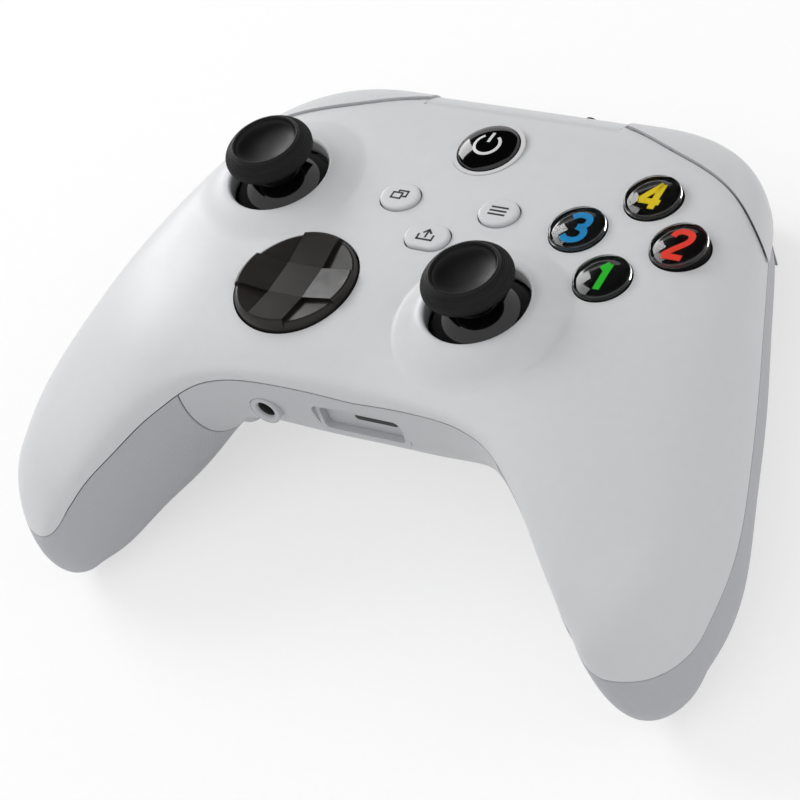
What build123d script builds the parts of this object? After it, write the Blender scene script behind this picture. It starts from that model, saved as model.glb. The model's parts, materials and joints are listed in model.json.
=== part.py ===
from build123d import *
from math import copysign, cos, pi, radians, sin
import os

os.makedirs("parts", exist_ok=True)

# The whole body, seen square to its face
half_width = 76.0
reach = 76.0
depth = 50.0
wall = 2.2
tip_length = 11.8
seam_gap = 0.3
overrun = 3.0

# The face leans back by this angle when the gamepad stands on a table
lean_angle = 10.0
face_rise = 38.0
face_set_back = 11.8

# Eleven stations run from the middle of the body to the end of a grip.
# At each one an upright slice crosses the body from its inner edge to its outer edge.
inner_x_shares = (0, 0.13, 0.255, 0.35, 0.42, 0.477, 0.53, 0.582, 0.635, 0.688, 0.74)
inner_y_shares = (-0.566, -0.573, -0.588, -0.607, -0.632, -0.67, -0.716, -0.77, -0.827, -0.883, -0.932)
outer_x_shares = (0, 0.19, 0.39, 0.575, 0.708, 0.78, 0.84, 0.9, 0.95, 0.98, 0.965)
outer_y_shares = (0.44, 0.438, 0.43, 0.39, 0.275, 0.105, -0.07, -0.26, -0.445, -0.635, -0.81)
top_shares = (0, 0, 0, 0, 0, -0.01, -0.035, -0.09, -0.175, -0.275, -0.39)
low_shares = (-0.66, -0.655, -0.64, -0.64, -0.685, -0.77, -0.85, -0.905, -0.955, -0.985, -0.95)
inner_seam_shares = (-0.165, -0.14, -0.115, -0.11, -0.13, -0.17, -0.215, -0.27, -0.33, -0.4, -0.5)
outer_seam_shares = (-0.205, -0.2, -0.195, -0.2, -0.215, -0.25, -0.305, -0.385, -0.47, -0.56, -0.64)
top_square_shares = (3.2, 3.2, 3.2, 3.1, 3.0, 2.9, 2.7, 2.5, 2.4, 2.3, 2.2)
low_square_shares = (2.8, 2.8, 2.6, 2.4, 2.3, 2.2, 2.2, 2.1, 2.1, 2.0, 2.0)
last_station = 10
tip_start = 30
tip_turns = (37, 45, 54, 63, 73, 84)
slice_steps = 12

# Thumbsticks: places on the face and heights of their wells above it
stick_spread = 38.4
lower_spread = 20.3
lower_drop = 24.3
left_well_rise = 1.5
right_well_rise = 3.4
well_radius = 9.9
collar_round = 0.6
collar_foot_radius = 15.4
collar_foot_drop = 0.5
collar_foot_slope = 0.15
collar_skirt = 3.0

# Thumbstick pieces, measured from the well plane and the pivot
pivot_depth = 10.6
dome_radius = 11.9
dome_wall = 1.0
dome_gap = 0.4
dome_spread_angle = 74.0
neck_radius = 4.4
neck_top = 3.7
cap_radius = 8.55
cap_edge_low = 4.3
cap_side_low = 5.4
cap_side_top = 7.0
cap_height = 8.7
cap_lip_radius = 6.2
cap_lip_width = 0.6
cap_dish_depth = 1.6
lever_radius = 1.2
lever_top = 6.4
spigot_radius = 0.8
spigot_length = 2.4
slip = 0.06
press_room = 0.6
module_side = 13.0
module_top = 5.0
module_wall = 1.0
module_mouth_radius = 3.6
pot_length = 9.0
pot_depth = 3.0
pot_height = 4.2
yoke_length = 9.0
yoke_width = 6.0
yoke_height = 4.0
yoke_slot_length = 6.4
yoke_slot_width = 2.8
yoke_pin_radius = 1.0
hub_length = 3.2
hub_width = 2.5
hub_height = 3.0
hub_pin_radius = 0.7

# Direction dish
dish_radius = 12.05
dish_gap = 0.35
dish_rim = 1.1
dish_centre_rise = -0.4
dish_corner_rise = -0.1
dish_corner_low = -1.3
dish_floor = -3.5
dish_arm_width = 7.6
dish_stem_radius = 3.0
dish_stem_low = -9.0
plate_radius = 6.5
plate_hole_radius = 3.8
plate_top = -4.3
plate_thickness = 0.5

# Buttons of the face
button_spread = 38.4
button_drop = 0.8
button_pitch = 10.4
button_radius = 5.4
button_gap = 0.25
button_rise = 1.5
button_crown = 0.55
button_flange = 0.8
flange_thickness = 0.9
flange_drop = 2.8
button_stem_radius = 2.2
button_travel = 1.2
guide_back = 15.75
guide_radius = 6.05
guide_rise = 1.3
ring_width = 0.8
ring_low = -1.8
ring_top = 0.05
menu_spread = 10.85
menu_length = 8.2
menu_width = 6.8
menu_rise = 0.9
menu_round = 0.5
share_drop = 8.6
share_length = 9.2
share_width = 6.0
guide_travel = 0.5
centre_travel = 0.6
centre_stem_radius = 1.5

# Boards, sheets and screws inside
board_top = -15.4
board_thickness = 1.6
board_x_shares = (0.275, 0.275, 0.38, 0.7, 0.7, 0.47)
board_y_shares = (0.355, 0.23, 0.16, 0.16, -0.18, -0.46)
sheet_thickness = 1.0
sheet_corner = 3.0
side_sheet_length = 28.0
side_sheet_width = 25.6
centre_sheet_length = 28.0
centre_sheet_width = 32.0
centre_sheet_y = 4.0
dimple_radius = 2.4
dimple_height = 1.6
dimple_taper = 20.0
post_radius = 2.2
post_bore_radius = 1.05
board_post_spread = 44.0
board_post_side_y = -19.0
board_post_back_x = 8.0
board_post_back_y = 24.3
board_post_front_y = -32.5
case_post_radius = 2.6
case_post_front_x = 30.0
case_post_front_y = -39.0
case_post_back_x = 27.0
case_post_back_y = 24.0
post_split = -17.2
post_gap = 0.1
screw_radius = 1.0
screw_head_radius = 2.0
screw_head_height = 1.4
screw_seat = -20.5
screw_tip = -10.0
board_screw_tip = -10.5

# Battery bay on the underside, laid out flat on the table
cell_radius = 7.25
cell_length = 49.2
cell_button_radius = 2.75
cell_button_length = 1.3
cell_gap = 0.5
bay_length = 56.6
bay_wall = 1.4
door_thickness = 2.2
door_margin = 1.9
door_gap = 0.3
door_corner = 4.0
door_round = 0.8
door_groove_count = 4
door_groove_pitch = 2.4
door_groove_length = 18.0
door_groove_width = 1.2
door_groove_depth = 0.5
hump_border = 2.6
hump_corner = 8.0
hump_round = 2.4
hump_rise = 14.0
contact_thickness = 0.4
contact_side = 9.0
contact_taper = 20.0

# Bumpers, bridge and triggers along the back edge
bumper_seam_x_shares = (0.29, 0.37, 0.46, 0.57, 0.665, 0.757, 0.815)
bumper_seam_y_shares = (0.39, 0.355, 0.315, 0.27, 0.218, 0.14, 0.085)
bumper_proud = 0.6
bumper_low = -11.0
bumper_gap = 0.45
bumper_stations = 7
bridge_top = -2.6
bridge_y = 26.6
trigger_inner_x = 31.0
trigger_outer_x = 57.0
trigger_gap = 0.5
trigger_pivot_y = 18.5
trigger_pivot_z = -15.8
trigger_front_y = 15.6
trigger_front_low = -19.0
trigger_top_z = -12.2
trigger_shoulder_y = 31.5
trigger_belly_y = 35.2
trigger_belly_z = -20.5
trigger_tip_y = 36.6
trigger_tip_z = -29.0
trigger_tip_thickness = 2.6
trigger_palm_y = 29.0
trigger_palm_z = -21.5
trigger_side_y = 14.6
trigger_corner = 15.4
trigger_corner_round = 7.0
pin_radius = 1.25
pin_slip = 0.05
frame_back_y = 14.0
frame_thickness = 1.4
frame_top_z = -12.0
frame_low_z = -30.0
liner_gap = 0.2
ear_thickness = 1.6
ear_reach = 21.0
ear_low_z = -18.5
ear_gap = 0.3
outer_ear_x = 46.0
spring_wire = 0.35
spring_radius = 2.1
spring_turns = 4
spring_pitch = 1.2
spring_x = 34.0
slot_reach = 22.5
switch_length = 5.0
switch_width = 3.0
switch_height = 2.4
switch_x = 47.0
switch_button_radius = 0.8
switch_button_length = 0.8

# Sockets in the front wall and the back edge
jack_x = -20.0
jack_z = -13.5
jack_radius = 3.2
jack_bore_radius = 1.8
jack_length = 9.0
jack_mouth_y = -44.9
port_z = -14.6
port_length = 19.6
port_height = 7.4
port_wall = 1.0
port_corner = 1.5
port_depth = 7.4
port_recess = 5.0
port_mouth_y = -42.7
port_rim = 1.0
port_slot_length = 9.0
port_slot_height = 2.0
usb_length = 9.0
usb_height = 3.3
usb_depth = 6.0
usb_wall = 0.4
usb_tongue_length = 6.6
usb_tongue_height = 0.7
usb_z = -6.8
usb_back_y = 32.0
pair_x = 12.0
pair_radius = 1.7
pair_rise = 0.6
pair_length = 4.2

# Rumble motors in the grips
motor_x = 57.5
motor_y = -43.0
motor_z = -25.5
motor_radius = 9.5
motor_length = 13.0
motor_slope_shares = (0.33, -0.86, -0.38)
motor_shaft_radius = 1.0
motor_cap_radius = 3.0
motor_cap_length = 0.8
weight_radius = 9.0
weight_thickness = 4.0
weight_gap = 1.2
weight_hub_radius = 2.6
rib_thickness = 3.0
rib_width = 15.0

# Where the underside splits into its middle and the two grip covers
split_front_x = 31.0
split_back_x = 44.0
split_front_y = -90.0
split_back_y = 45.0

face = Plane(
    origin=(0, face_set_back, face_rise),
    x_dir=(1, 0, 0),
    z_dir=(0, sin(radians(lean_angle)), cos(radians(lean_angle))),
)
board_low = board_top - board_thickness
sheet_top = board_top + sheet_thickness
stem_seat = sheet_top + dimple_height
left, right = -1, 1


def finish(name, piece):
    """Name a finished piece and write it out."""
    piece.part.label = name
    export_step(piece.part, f"parts/{name}.step")


def on_face(x, y, z):
    """A point given in the face's own directions."""
    return face.from_local_coords(Vector(x, y, z))


def upright(x, y):
    """A plane that stands on the face, for turned profiles: X across, Y out of the face."""
    return Plane(origin=on_face(x, y, 0), x_dir=face.x_dir, z_dir=-face.y_dir)


def face_axis(x, y):
    """The line square to the face through a place on it."""
    return Axis(on_face(x, y, 0), face.z_dir)


def side_plane(x):
    """A plane square to the long axis: X runs towards the back, Y out of the face."""
    return Plane(origin=on_face(x, 0, 0), x_dir=face.y_dir, z_dir=face.x_dir)


def station_edges(index, side):
    """Inner and outer edge points of one station, at the level of the face."""
    inner = on_face(side * inner_x_shares[index] * half_width, inner_y_shares[index] * reach, 0)
    outer = on_face(side * outer_x_shares[index] * half_width, outer_y_shares[index] * reach, 0)
    return inner, outer


def station_centre(index, side):
    """The middle of one station's slice."""
    inner, outer = station_edges(index, side)
    middle = (top_shares[index] + low_shares[index]) / 2 * depth
    return (inner + outer) / 2 + face.z_dir * middle


def tip_direction(index, side):
    """The way a grip points at its end."""
    return (station_centre(index, side) - station_centre(index - 1, side)).normalized()


def station_plane(index, side, shift):
    """The upright plane of one station, moved on past the grip's end by shift."""
    inner, outer = station_edges(index, side)
    across = (outer - inner).normalized()
    start = inner
    if shift:
        start = inner + tip_direction(index, side) * shift
    return Plane(origin=start, x_dir=across, z_dir=across.cross(face.z_dir)), (outer - inner).length


def slice_half(index, width, inset, shrink, upper):
    """Points of the upper or lower half of a slice, from its inner edge round to its outer edge."""
    square = (top_square_shares if upper else low_square_shares)[index]
    limit = top_shares[index] * depth - inset if upper else low_shares[index] * depth + inset
    inner_seam = inner_seam_shares[index] * depth
    outer_seam = outer_seam_shares[index] * depth
    middle = (top_shares[index] + low_shares[index]) / 2 * depth
    points = []
    for step in range(slice_steps + 1):
        turn = pi * step / slice_steps
        across = (1 - copysign(abs(cos(turn)) ** (2 / square), cos(turn))) / 2
        lift = abs(sin(turn)) ** (2 / square)
        seam = inner_seam * (1 - across) + outer_seam * across
        x = inset + (width - 2 * inset) * across
        y = seam + (limit - seam) * lift
        points.append((width / 2 + (x - width / 2) * shrink, middle + (y - middle) * shrink))
    return points


def slice_sketch(index, side, inset, shrink=1, shift=0):
    """One closed slice of the body, in four edges that meet at its corners."""
    plane, width = station_plane(index, side, shift)
    ring = slice_half(index, width, inset, shrink, True)
    ring += slice_half(index, width, inset, shrink, False)[-2:0:-1]
    quarter = slice_steps // 2
    corner = quarter // 2
    ring = ring[corner:] + ring[:corner + 1]
    with BuildLine():
        edges = [Spline(*ring[first:first + quarter + 1]) for first in range(0, 4 * quarter, quarter)]
    return plane * Face(Wire(edges))


def end_slices(inset, last, side):
    """The shrinking slices that round off one grip's end."""
    start = radians(tip_start)
    end_length = tip_length - inset / (1 - sin(start))
    slices = []
    for turn in tip_turns:
        shift = (sin(radians(turn)) - sin(start)) * end_length
        slices.append(slice_sketch(last, side, inset, cos(radians(turn)) / cos(start), shift))
    return slices


def body_slices(inset, last):
    """Slices of the whole body, from the left grip's end to the right grip's end."""
    slices = end_slices(inset, last, left)[::-1]
    slices += [slice_sketch(index, left, inset) for index in range(last, 0, -1)]
    slices += [slice_sketch(index, right, inset) for index in range(last + 1)]
    slices += end_slices(inset, last, right)
    return slices


def seam_sketch(index, side, lift, shift=0):
    """One slice of the block that lies below the seam between the front and rear cases."""
    plane, width = station_plane(index, side, shift)
    inner_seam = inner_seam_shares[index] * depth + lift
    outer_seam = outer_seam_shares[index] * depth + lift
    low = low_shares[0] * depth * 2
    with BuildSketch(plane) as outline:
        with BuildLine():
            Polyline(
                (-overrun, inner_seam), (width + overrun, outer_seam),
                (width + overrun, low), (-overrun, low), close=True,
            )
        make_face()
    return outline.sketch


def seam_slices(lift):
    """Slices of the block below the seam, carried past both grips' ends."""
    past = tip_length + overrun
    slices = [seam_sketch(last_station, left, lift, past)]
    slices += [seam_sketch(index, left, lift) for index in range(last_station, 0, -1)]
    slices += [seam_sketch(index, right, lift) for index in range(last_station + 1)]
    slices.append(seam_sketch(last_station, right, lift, past))
    return slices


# The body's outside, its hollow, and the block below the seam
with BuildPart() as body:
    loft(sections=body_slices(0, last_station), clean=False)

with BuildPart() as hollow:
    loft(sections=body_slices(wall, last_station), clean=False)

with BuildPart() as core:
    loft(sections=body_slices(wall / 2, last_station), clean=False)

with BuildPart() as below_front:
    loft(sections=seam_slices(seam_gap / 2))

with BuildPart() as below_rear:
    loft(sections=seam_slices(-seam_gap / 2))

stick_places = (
    ("left", -stick_spread, 0.0, left_well_rise),
    ("right", lower_spread, -lower_drop, right_well_rise),
)
button_places = (
    ("bottom", button_spread, -button_drop - button_pitch),
    ("right", button_spread + button_pitch, -button_drop),
    ("left", button_spread - button_pitch, -button_drop),
    ("top", button_spread, -button_drop + button_pitch),
)
menu_places = (("view", -menu_spread), ("menu", menu_spread))
board_posts = (
    (board_post_spread, board_post_side_y), (-board_post_spread, board_post_side_y),
    (board_post_back_x, board_post_back_y), (0, board_post_front_y),
)
case_posts = (
    (case_post_front_x, case_post_front_y), (-case_post_front_x, case_post_front_y),
    (case_post_back_x, case_post_back_y), (-case_post_back_x, case_post_back_y),
)


def bumper_plan(grow):
    """Outline, at its lower level, of the right bumper or of its room in the case."""
    seam = [
        (x_share * half_width, y_share * reach - grow)
        for x_share, y_share in zip(bumper_seam_x_shares, bumper_seam_y_shares)
    ]
    start = (seam[0][0] - grow, seam[0][1])
    end = (half_width, seam[-1][1] - overrun)
    with BuildSketch(face.offset(bumper_low - grow)) as outline:
        with BuildLine():
            Spline(start, *seam[1:])
            Polyline(seam[-1], end, (half_width, half_width), (start[0], half_width), start)
        make_face()
    return outline.sketch


with BuildPart() as right_bumper_room:
    extrude(bumper_plan(bumper_gap), amount=-bumper_low + bumper_gap + overrun)

with BuildPart() as right_trigger_room:
    with BuildSketch(face.offset(bumper_low - bumper_gap)):
        with BuildLine():
            Polyline(
                (trigger_inner_x - trigger_gap, frame_back_y + trigger_gap),
                (half_width, frame_back_y + trigger_gap),
                (half_width, half_width), (trigger_inner_x - trigger_gap, half_width), close=True,
            )
        make_face()
    extrude(amount=-depth)

with BuildPart() as bridge_room:
    with BuildSketch(face.offset(bumper_low - bumper_gap)):
        with Locations((0, bridge_y + half_width / 2)):
            Rectangle(2 * (bumper_seam_x_shares[0] * half_width - bumper_gap + overrun), half_width)
    extrude(amount=bridge_top - bumper_low + 2 * bumper_gap)

with BuildPart() as back_rooms:
    add(right_bumper_room.part)
    add(right_trigger_room.part)
    mirror(about=Plane.YZ)
    add(bridge_room.part)

# Front case: the face, with the holes for all that comes through it
with BuildPart() as front_posts:
    with BuildSketch(face.offset(board_top)):
        with Locations(*board_posts):
            Circle(post_radius)
    extrude(amount=-board_top)
    with BuildSketch(face.offset(post_split)):
        with Locations(*case_posts):
            Circle(case_post_radius)
    extrude(amount=-post_split)
    add(core.part, mode=Mode.INTERSECT)

with BuildPart() as front_case:
    add(body.part)
    add(below_front.part, mode=Mode.SUBTRACT)
    for side, x, y, rise in stick_places:
        with BuildSketch(upright(x, y)):
            with BuildLine():
                Line((well_radius, -collar_skirt), (well_radius, rise - collar_round))
                crest = (well_radius + collar_round, rise)
                foot = (collar_foot_radius, -collar_foot_drop)
                TangentArc((well_radius, rise - collar_round), crest, tangent=(0, 1))
                Spline(crest, foot, tangents=((1, 0), (1, -collar_foot_slope)))
                Polyline(foot, (collar_foot_radius, -collar_skirt), (well_radius, -collar_skirt))
            make_face()
        revolve(axis=face_axis(x, y))
    add(hollow.part, mode=Mode.SUBTRACT)
    add(front_posts.part)
    add(back_rooms.part, mode=Mode.SUBTRACT)
    for side, x, y, rise in stick_places:
        with BuildSketch(face.offset(-collar_skirt - overrun)):
            with Locations((x, y)):
                Circle(well_radius)
        extrude(amount=depth, mode=Mode.SUBTRACT)
        with Locations(on_face(x, y, rise - pivot_depth)):
            Sphere(dome_radius + dome_gap, mode=Mode.SUBTRACT)
    with BuildSketch(face.offset(-wall - overrun)):
        with Locations((-lower_spread, -lower_drop)):
            Circle(dish_radius + dish_gap)
        for side, x, y in button_places:
            with Locations((x, y)):
                Circle(button_radius + button_gap)
        with Locations((0, guide_back)):
            Circle(guide_radius + button_gap)
        for side, x in menu_places:
            with Locations((x, 0)):
                Ellipse(menu_length / 2 + button_gap, menu_width / 2 + button_gap)
        with Locations((0, -share_drop)):
            SlotOverall(share_length + 2 * button_gap, share_width + 2 * button_gap)
    extrude(amount=depth, mode=Mode.SUBTRACT)
    with BuildSketch(face.offset(ring_low)):
        with Locations((0, guide_back)):
            Circle(guide_radius + button_gap + ring_width + slip)
    extrude(amount=depth, mode=Mode.SUBTRACT)
    with BuildSketch(face.offset(slip - flange_drop)):
        for side, x, y in button_places:
            with Locations((x, y)):
                Circle(button_radius + button_flange + button_gap)
        with Locations((0, guide_back)):
            Circle(guide_radius + button_flange + button_gap)
    extrude(amount=-flange_thickness - button_travel - press_room, mode=Mode.SUBTRACT)
    with BuildSketch(face.offset(board_top)):
        for x, y in board_posts:
            with Locations((x, y)):
                Circle(post_bore_radius)
    extrude(amount=board_screw_tip - board_top + slip, mode=Mode.SUBTRACT)
    with BuildSketch(face.offset(post_split)):
        for x, y in case_posts:
            with Locations((x, y)):
                Circle(post_bore_radius)
    extrude(amount=screw_tip - post_split + slip, mode=Mode.SUBTRACT)
finish("front_case", front_case)

# Rear case and grip covers: the underside in three pieces
bay_width = 4 * cell_radius + 3 * cell_gap
bay_low = door_thickness + door_gap
bay_top = bay_low + 2 * cell_radius + cell_gap
door_length = bay_length + 2 * door_margin
door_width = bay_width + 2 * door_margin
hump_length = door_length + 2 * (door_gap + hump_border)
hump_width = door_width + 2 * (door_gap + hump_border)

with BuildPart() as underside:
    add(body.part)
    add(below_rear.part, mode=Mode.INTERSECT)
    with BuildSketch(Plane.XY):
        RectangleRounded(hump_length, hump_width, hump_corner)
    extrude(amount=hump_rise)
    add(hollow.part, mode=Mode.SUBTRACT)
    with BuildSketch(Plane.XY.offset(bay_low)):
        Rectangle(bay_length + 2 * bay_wall, bay_width + 2 * bay_wall)
    extrude(amount=bay_top + bay_wall - bay_low)
    for x, y in case_posts:
        with BuildSketch(face.offset(post_split - post_gap)):
            with Locations((x, y)):
                Circle(case_post_radius)
        extrude(amount=-(post_split - post_gap - screw_seat) - wall)
    split(bisect_by=Plane.XY, keep=Keep.TOP)
    with BuildSketch(Plane.XY):
        Rectangle(bay_length, bay_width)
    extrude(amount=bay_top, mode=Mode.SUBTRACT)
    with BuildSketch(Plane.XY):
        RectangleRounded(door_length + 2 * door_gap, door_width + 2 * door_gap, door_corner + door_gap)
    extrude(amount=bay_low, mode=Mode.SUBTRACT)
    add(back_rooms.part, mode=Mode.SUBTRACT)
    with BuildSketch(face.offset(-depth)):
        for x, y in case_posts:
            with Locations((x, y)):
                Circle(screw_head_radius + dome_gap)
    extrude(amount=depth + screw_seat, mode=Mode.SUBTRACT)
    with BuildSketch(face.offset(-depth)):
        for x, y in case_posts:
            with Locations((x, y)):
                Circle(post_bore_radius)
    extrude(amount=depth, mode=Mode.SUBTRACT)
    with BuildSketch(Plane(origin=on_face(jack_x, jack_mouth_y, jack_z), x_dir=face.x_dir, z_dir=face.y_dir)):
        Circle(jack_radius + slip)
    extrude(amount=jack_length, both=True, mode=Mode.SUBTRACT)
    with BuildSketch(Plane(origin=on_face(0, port_mouth_y, port_z), x_dir=face.x_dir, z_dir=face.y_dir)):
        RectangleRounded(port_length + 2 * slip, port_height + 2 * slip, port_corner + slip)
    extrude(amount=port_depth, both=True, mode=Mode.SUBTRACT)

with BuildPart() as right_side:
    with BuildSketch(face.offset(overrun)):
        with BuildLine():
            Polyline(
                (split_front_x, split_front_y), (half_width + overrun, split_front_y),
                (half_width + overrun, split_back_y), (split_back_x, split_back_y), close=True,
            )
        make_face()
    extrude(amount=-depth - wall - overrun)
with BuildPart() as right_side_wide:
    with BuildSketch(face.offset(overrun)):
        with BuildLine():
            Polyline(
                (split_front_x - seam_gap, split_front_y), (half_width + overrun, split_front_y),
                (half_width + overrun, split_back_y), (split_back_x - seam_gap, split_back_y), close=True,
            )
        make_face()
    extrude(amount=-depth - wall - overrun)

motor_planes = {}
for side in (left, right):
    slope = motor_slope_shares
    way = face.from_local_coords(Vector(side * slope[0], slope[1], slope[2])) - face.origin
    motor_planes[side] = Plane(origin=on_face(side * motor_x, motor_y, motor_z), x_dir=face.x_dir, z_dir=way)


def weight_plane(side):
    """The plane of the inner face of one motor's weight."""
    return motor_planes[side].offset(motor_length / 2 + weight_gap)


with BuildPart() as rear_case:
    add(underside.part)
    add(right_side_wide.part, mode=Mode.SUBTRACT)
    mirror(right_side_wide.part, about=Plane.YZ, mode=Mode.SUBTRACT)
finish("rear_case", rear_case)

for name, side in (("left", left), ("right", right)):
    with BuildPart() as grip_cover:
        for place in (-motor_length / 3, motor_length / 3):
            with BuildSketch(motor_planes[side].offset(place - rib_thickness / 2)):
                Rectangle(rib_width, depth)
            extrude(amount=rib_thickness)
        with BuildSketch(motor_planes[side].offset(-motor_length)):
            with Locations((0, depth / 2)):
                Rectangle(depth, depth)
        extrude(amount=2 * motor_length, mode=Mode.SUBTRACT)
        add(core.part, mode=Mode.INTERSECT)
        add(underside.part)
        if side == right:
            add(right_side.part, mode=Mode.INTERSECT)
        else:
            mirror(right_side.part, about=Plane.YZ, mode=Mode.INTERSECT)
        with BuildSketch(motor_planes[side].offset(-motor_length)):
            Circle(motor_radius + slip)
        extrude(amount=2 * motor_length, mode=Mode.SUBTRACT)
    finish(f"{name}_grip_cover", grip_cover)

# Battery door, cells and contacts
with BuildPart() as battery_door:
    with BuildSketch(Plane.XY):
        RectangleRounded(door_length, door_width, door_corner)
    extrude(amount=door_thickness)
    fillet(battery_door.edges().group_by(Axis.Z)[0], door_round)
    with BuildSketch(Plane.XY):
        with GridLocations(0, door_groove_pitch, 1, door_groove_count):
            SlotOverall(door_groove_length, door_groove_width)
    extrude(amount=door_groove_depth, mode=Mode.SUBTRACT)
finish("battery_door", battery_door)

cell_centre = bay_low + cell_radius + cell_gap / 2
cell_row = cell_radius + cell_gap / 2
with BuildPart() as aa_cells:
    for side in (left, right):
        with BuildSketch(Plane(origin=(-side * cell_length / 2, side * cell_row, cell_centre), z_dir=(side, 0, 0))):
            Circle(cell_radius)
        extrude(amount=cell_length)
        with BuildSketch(Plane(origin=(side * cell_length / 2, side * cell_row, cell_centre), z_dir=(side, 0, 0))):
            Circle(cell_button_radius)
        extrude(amount=cell_button_length)
finish("aa_cells", aa_cells)

with BuildPart() as battery_contacts:
    for side in (left, right):
        for row in (left, right):
            back = Plane(origin=(side * bay_length / 2, row * cell_row, cell_centre), z_dir=(-side, 0, 0))
            room = (bay_length - cell_length) / 2 - contact_thickness
            nub = room if side != row else room - cell_button_length
            with BuildSketch(back):
                Rectangle(contact_side, contact_side)
            extrude(amount=contact_thickness)
            with BuildSketch(back.offset(contact_thickness)):
                Circle(cell_button_radius)
            extrude(amount=nub - slip, taper=contact_taper)
finish("battery_contacts", battery_contacts)

# Bridge and bumpers along the back edge
with BuildPart() as proud_body:
    loft(
        sections=[slice_sketch(index, right, -bumper_proud) for index in range(bumper_stations + 1)],
        clean=False,
    )

with BuildPart() as right_bumper:
    extrude(bumper_plan(0), amount=-bumper_low + overrun)
    add(proud_body.part, mode=Mode.INTERSECT)
    add(hollow.part, mode=Mode.SUBTRACT)
finish("right_bumper", right_bumper)
with BuildPart() as left_bumper:
    mirror(right_bumper.part, about=Plane.YZ)
finish("left_bumper", left_bumper)

bridge_half = bumper_seam_x_shares[0] * half_width - bumper_gap
usb_plane = Plane(origin=on_face(0, usb_back_y, usb_z), x_dir=face.x_dir, z_dir=-face.y_dir)
pair_plane = Plane(origin=on_face(pair_x, usb_back_y, usb_z), x_dir=face.x_dir, z_dir=-face.y_dir)
with BuildPart() as bumper_bridge:
    with BuildSketch(face.offset(bumper_low)):
        with Locations((0, bridge_y + bumper_gap + half_width / 2)):
            Rectangle(2 * bridge_half, half_width)
    extrude(amount=bridge_top - bumper_low)
    add(body.part, mode=Mode.INTERSECT)
    add(hollow.part, mode=Mode.SUBTRACT)
    with BuildSketch(usb_plane):
        SlotOverall(usb_length + 2 * slip, usb_height + 2 * slip)
    extrude(amount=usb_depth, both=True, mode=Mode.SUBTRACT)
    with BuildSketch(pair_plane):
        Circle(pair_radius + button_gap)
    extrude(amount=usb_depth, both=True, mode=Mode.SUBTRACT)
    with BuildSketch(pair_plane.offset(pair_length - pair_rise - flange_thickness - slip)):
        Circle(pair_radius + button_flange + button_gap)
    extrude(amount=usb_depth, mode=Mode.SUBTRACT)
finish("bumper_bridge", bumper_bridge)

with BuildPart() as usb_c_port:
    with BuildSketch(usb_plane):
        SlotOverall(usb_length, usb_height)
    extrude(amount=usb_depth)
    with BuildSketch(usb_plane):
        SlotOverall(usb_length - 2 * usb_wall, usb_height - 2 * usb_wall)
        Rectangle(usb_tongue_length, usb_tongue_height, mode=Mode.SUBTRACT)
    extrude(amount=usb_depth - usb_wall, mode=Mode.SUBTRACT)
finish("usb_c_port", usb_c_port)

with BuildPart() as pair_button:
    with BuildSketch(pair_plane.offset(-pair_rise)):
        Circle(pair_radius)
    extrude(amount=pair_length)
    fillet(pair_button.edges().sort_by(Axis(face.origin, face.y_dir))[-1], button_gap)
    with BuildSketch(pair_plane.offset(pair_length - pair_rise - flange_thickness)):
        Circle(pair_radius + button_flange)
    extrude(amount=flange_thickness)
finish("pair_button", pair_button)

# Triggers, each on a pin carried by a frame behind the shell's back opening
trigger_length = trigger_outer_x - trigger_inner_x
inner_ear_x = trigger_inner_x - trigger_gap - ear_gap - ear_thickness
pin_length = outer_ear_x + ear_thickness - inner_ear_x


def pivot_plane(x):
    """A plane square to the right trigger's pin, with its origin on the pin's axis."""
    return Plane(origin=on_face(x, trigger_pivot_y, trigger_pivot_z), x_dir=face.y_dir, z_dir=face.x_dir)


with BuildPart() as right_trigger:
    with BuildSketch(side_plane(trigger_inner_x)):
        with BuildLine():
            Polyline(
                (trigger_front_y, trigger_front_low), (trigger_front_y, trigger_top_z),
                (trigger_shoulder_y, trigger_top_z),
            )
            Spline(
                (trigger_shoulder_y, trigger_top_z), (trigger_belly_y, trigger_belly_z),
                (trigger_tip_y, trigger_tip_z), tangents=((1, -1), (1, -1)),
            )
            underside_tip = (trigger_tip_y - trigger_tip_thickness, trigger_tip_z)
            Line((trigger_tip_y, trigger_tip_z), underside_tip)
            Spline(
                underside_tip, (trigger_palm_y, trigger_palm_z),
                (trigger_front_y, trigger_front_low), tangents=((-1, 1), (-1, 0)),
            )
        make_face()
    extrude(amount=trigger_length)
    with BuildSketch(face) as trigger_outline:
        with BuildLine():
            Polyline(
                (trigger_inner_x, trigger_side_y - trigger_corner_round),
                (trigger_outer_x, trigger_side_y - trigger_corner_round),
                (trigger_outer_x, trigger_side_y), (trigger_outer_x - trigger_corner, trigger_tip_y),
                (trigger_inner_x, trigger_tip_y), close=True,
            )
        make_face()
        outer_corners = trigger_outline.vertices().filter_by(
            lambda corner: face.to_local_coords(corner).X > trigger_outer_x - trigger_corner - slip
        )
        fillet(outer_corners.sort_by(Axis(face.origin, face.y_dir))[1:], trigger_corner_round)
    extrude(amount=-depth, mode=Mode.INTERSECT)
    with BuildSketch(pivot_plane(trigger_inner_x)):
        Circle(pin_radius + pin_slip)
    extrude(amount=outer_ear_x + ear_thickness + ear_gap - trigger_inner_x, mode=Mode.SUBTRACT)
    for low_x, high_x in (
        (outer_ear_x - ear_gap, outer_ear_x + ear_thickness + ear_gap),
        (spring_x - spring_pitch, spring_x + (spring_turns + 1) * spring_pitch),
    ):
        with BuildSketch(face):
            with Locations(((low_x + high_x) / 2, (trigger_front_y + slot_reach) / 2)):
                Rectangle(high_x - low_x, slot_reach - trigger_front_y)
        extrude(amount=-depth, mode=Mode.SUBTRACT)
finish("right_trigger", right_trigger)

with BuildPart() as liner:
    loft(sections=body_slices(wall + liner_gap, last_station), clean=False)

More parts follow.
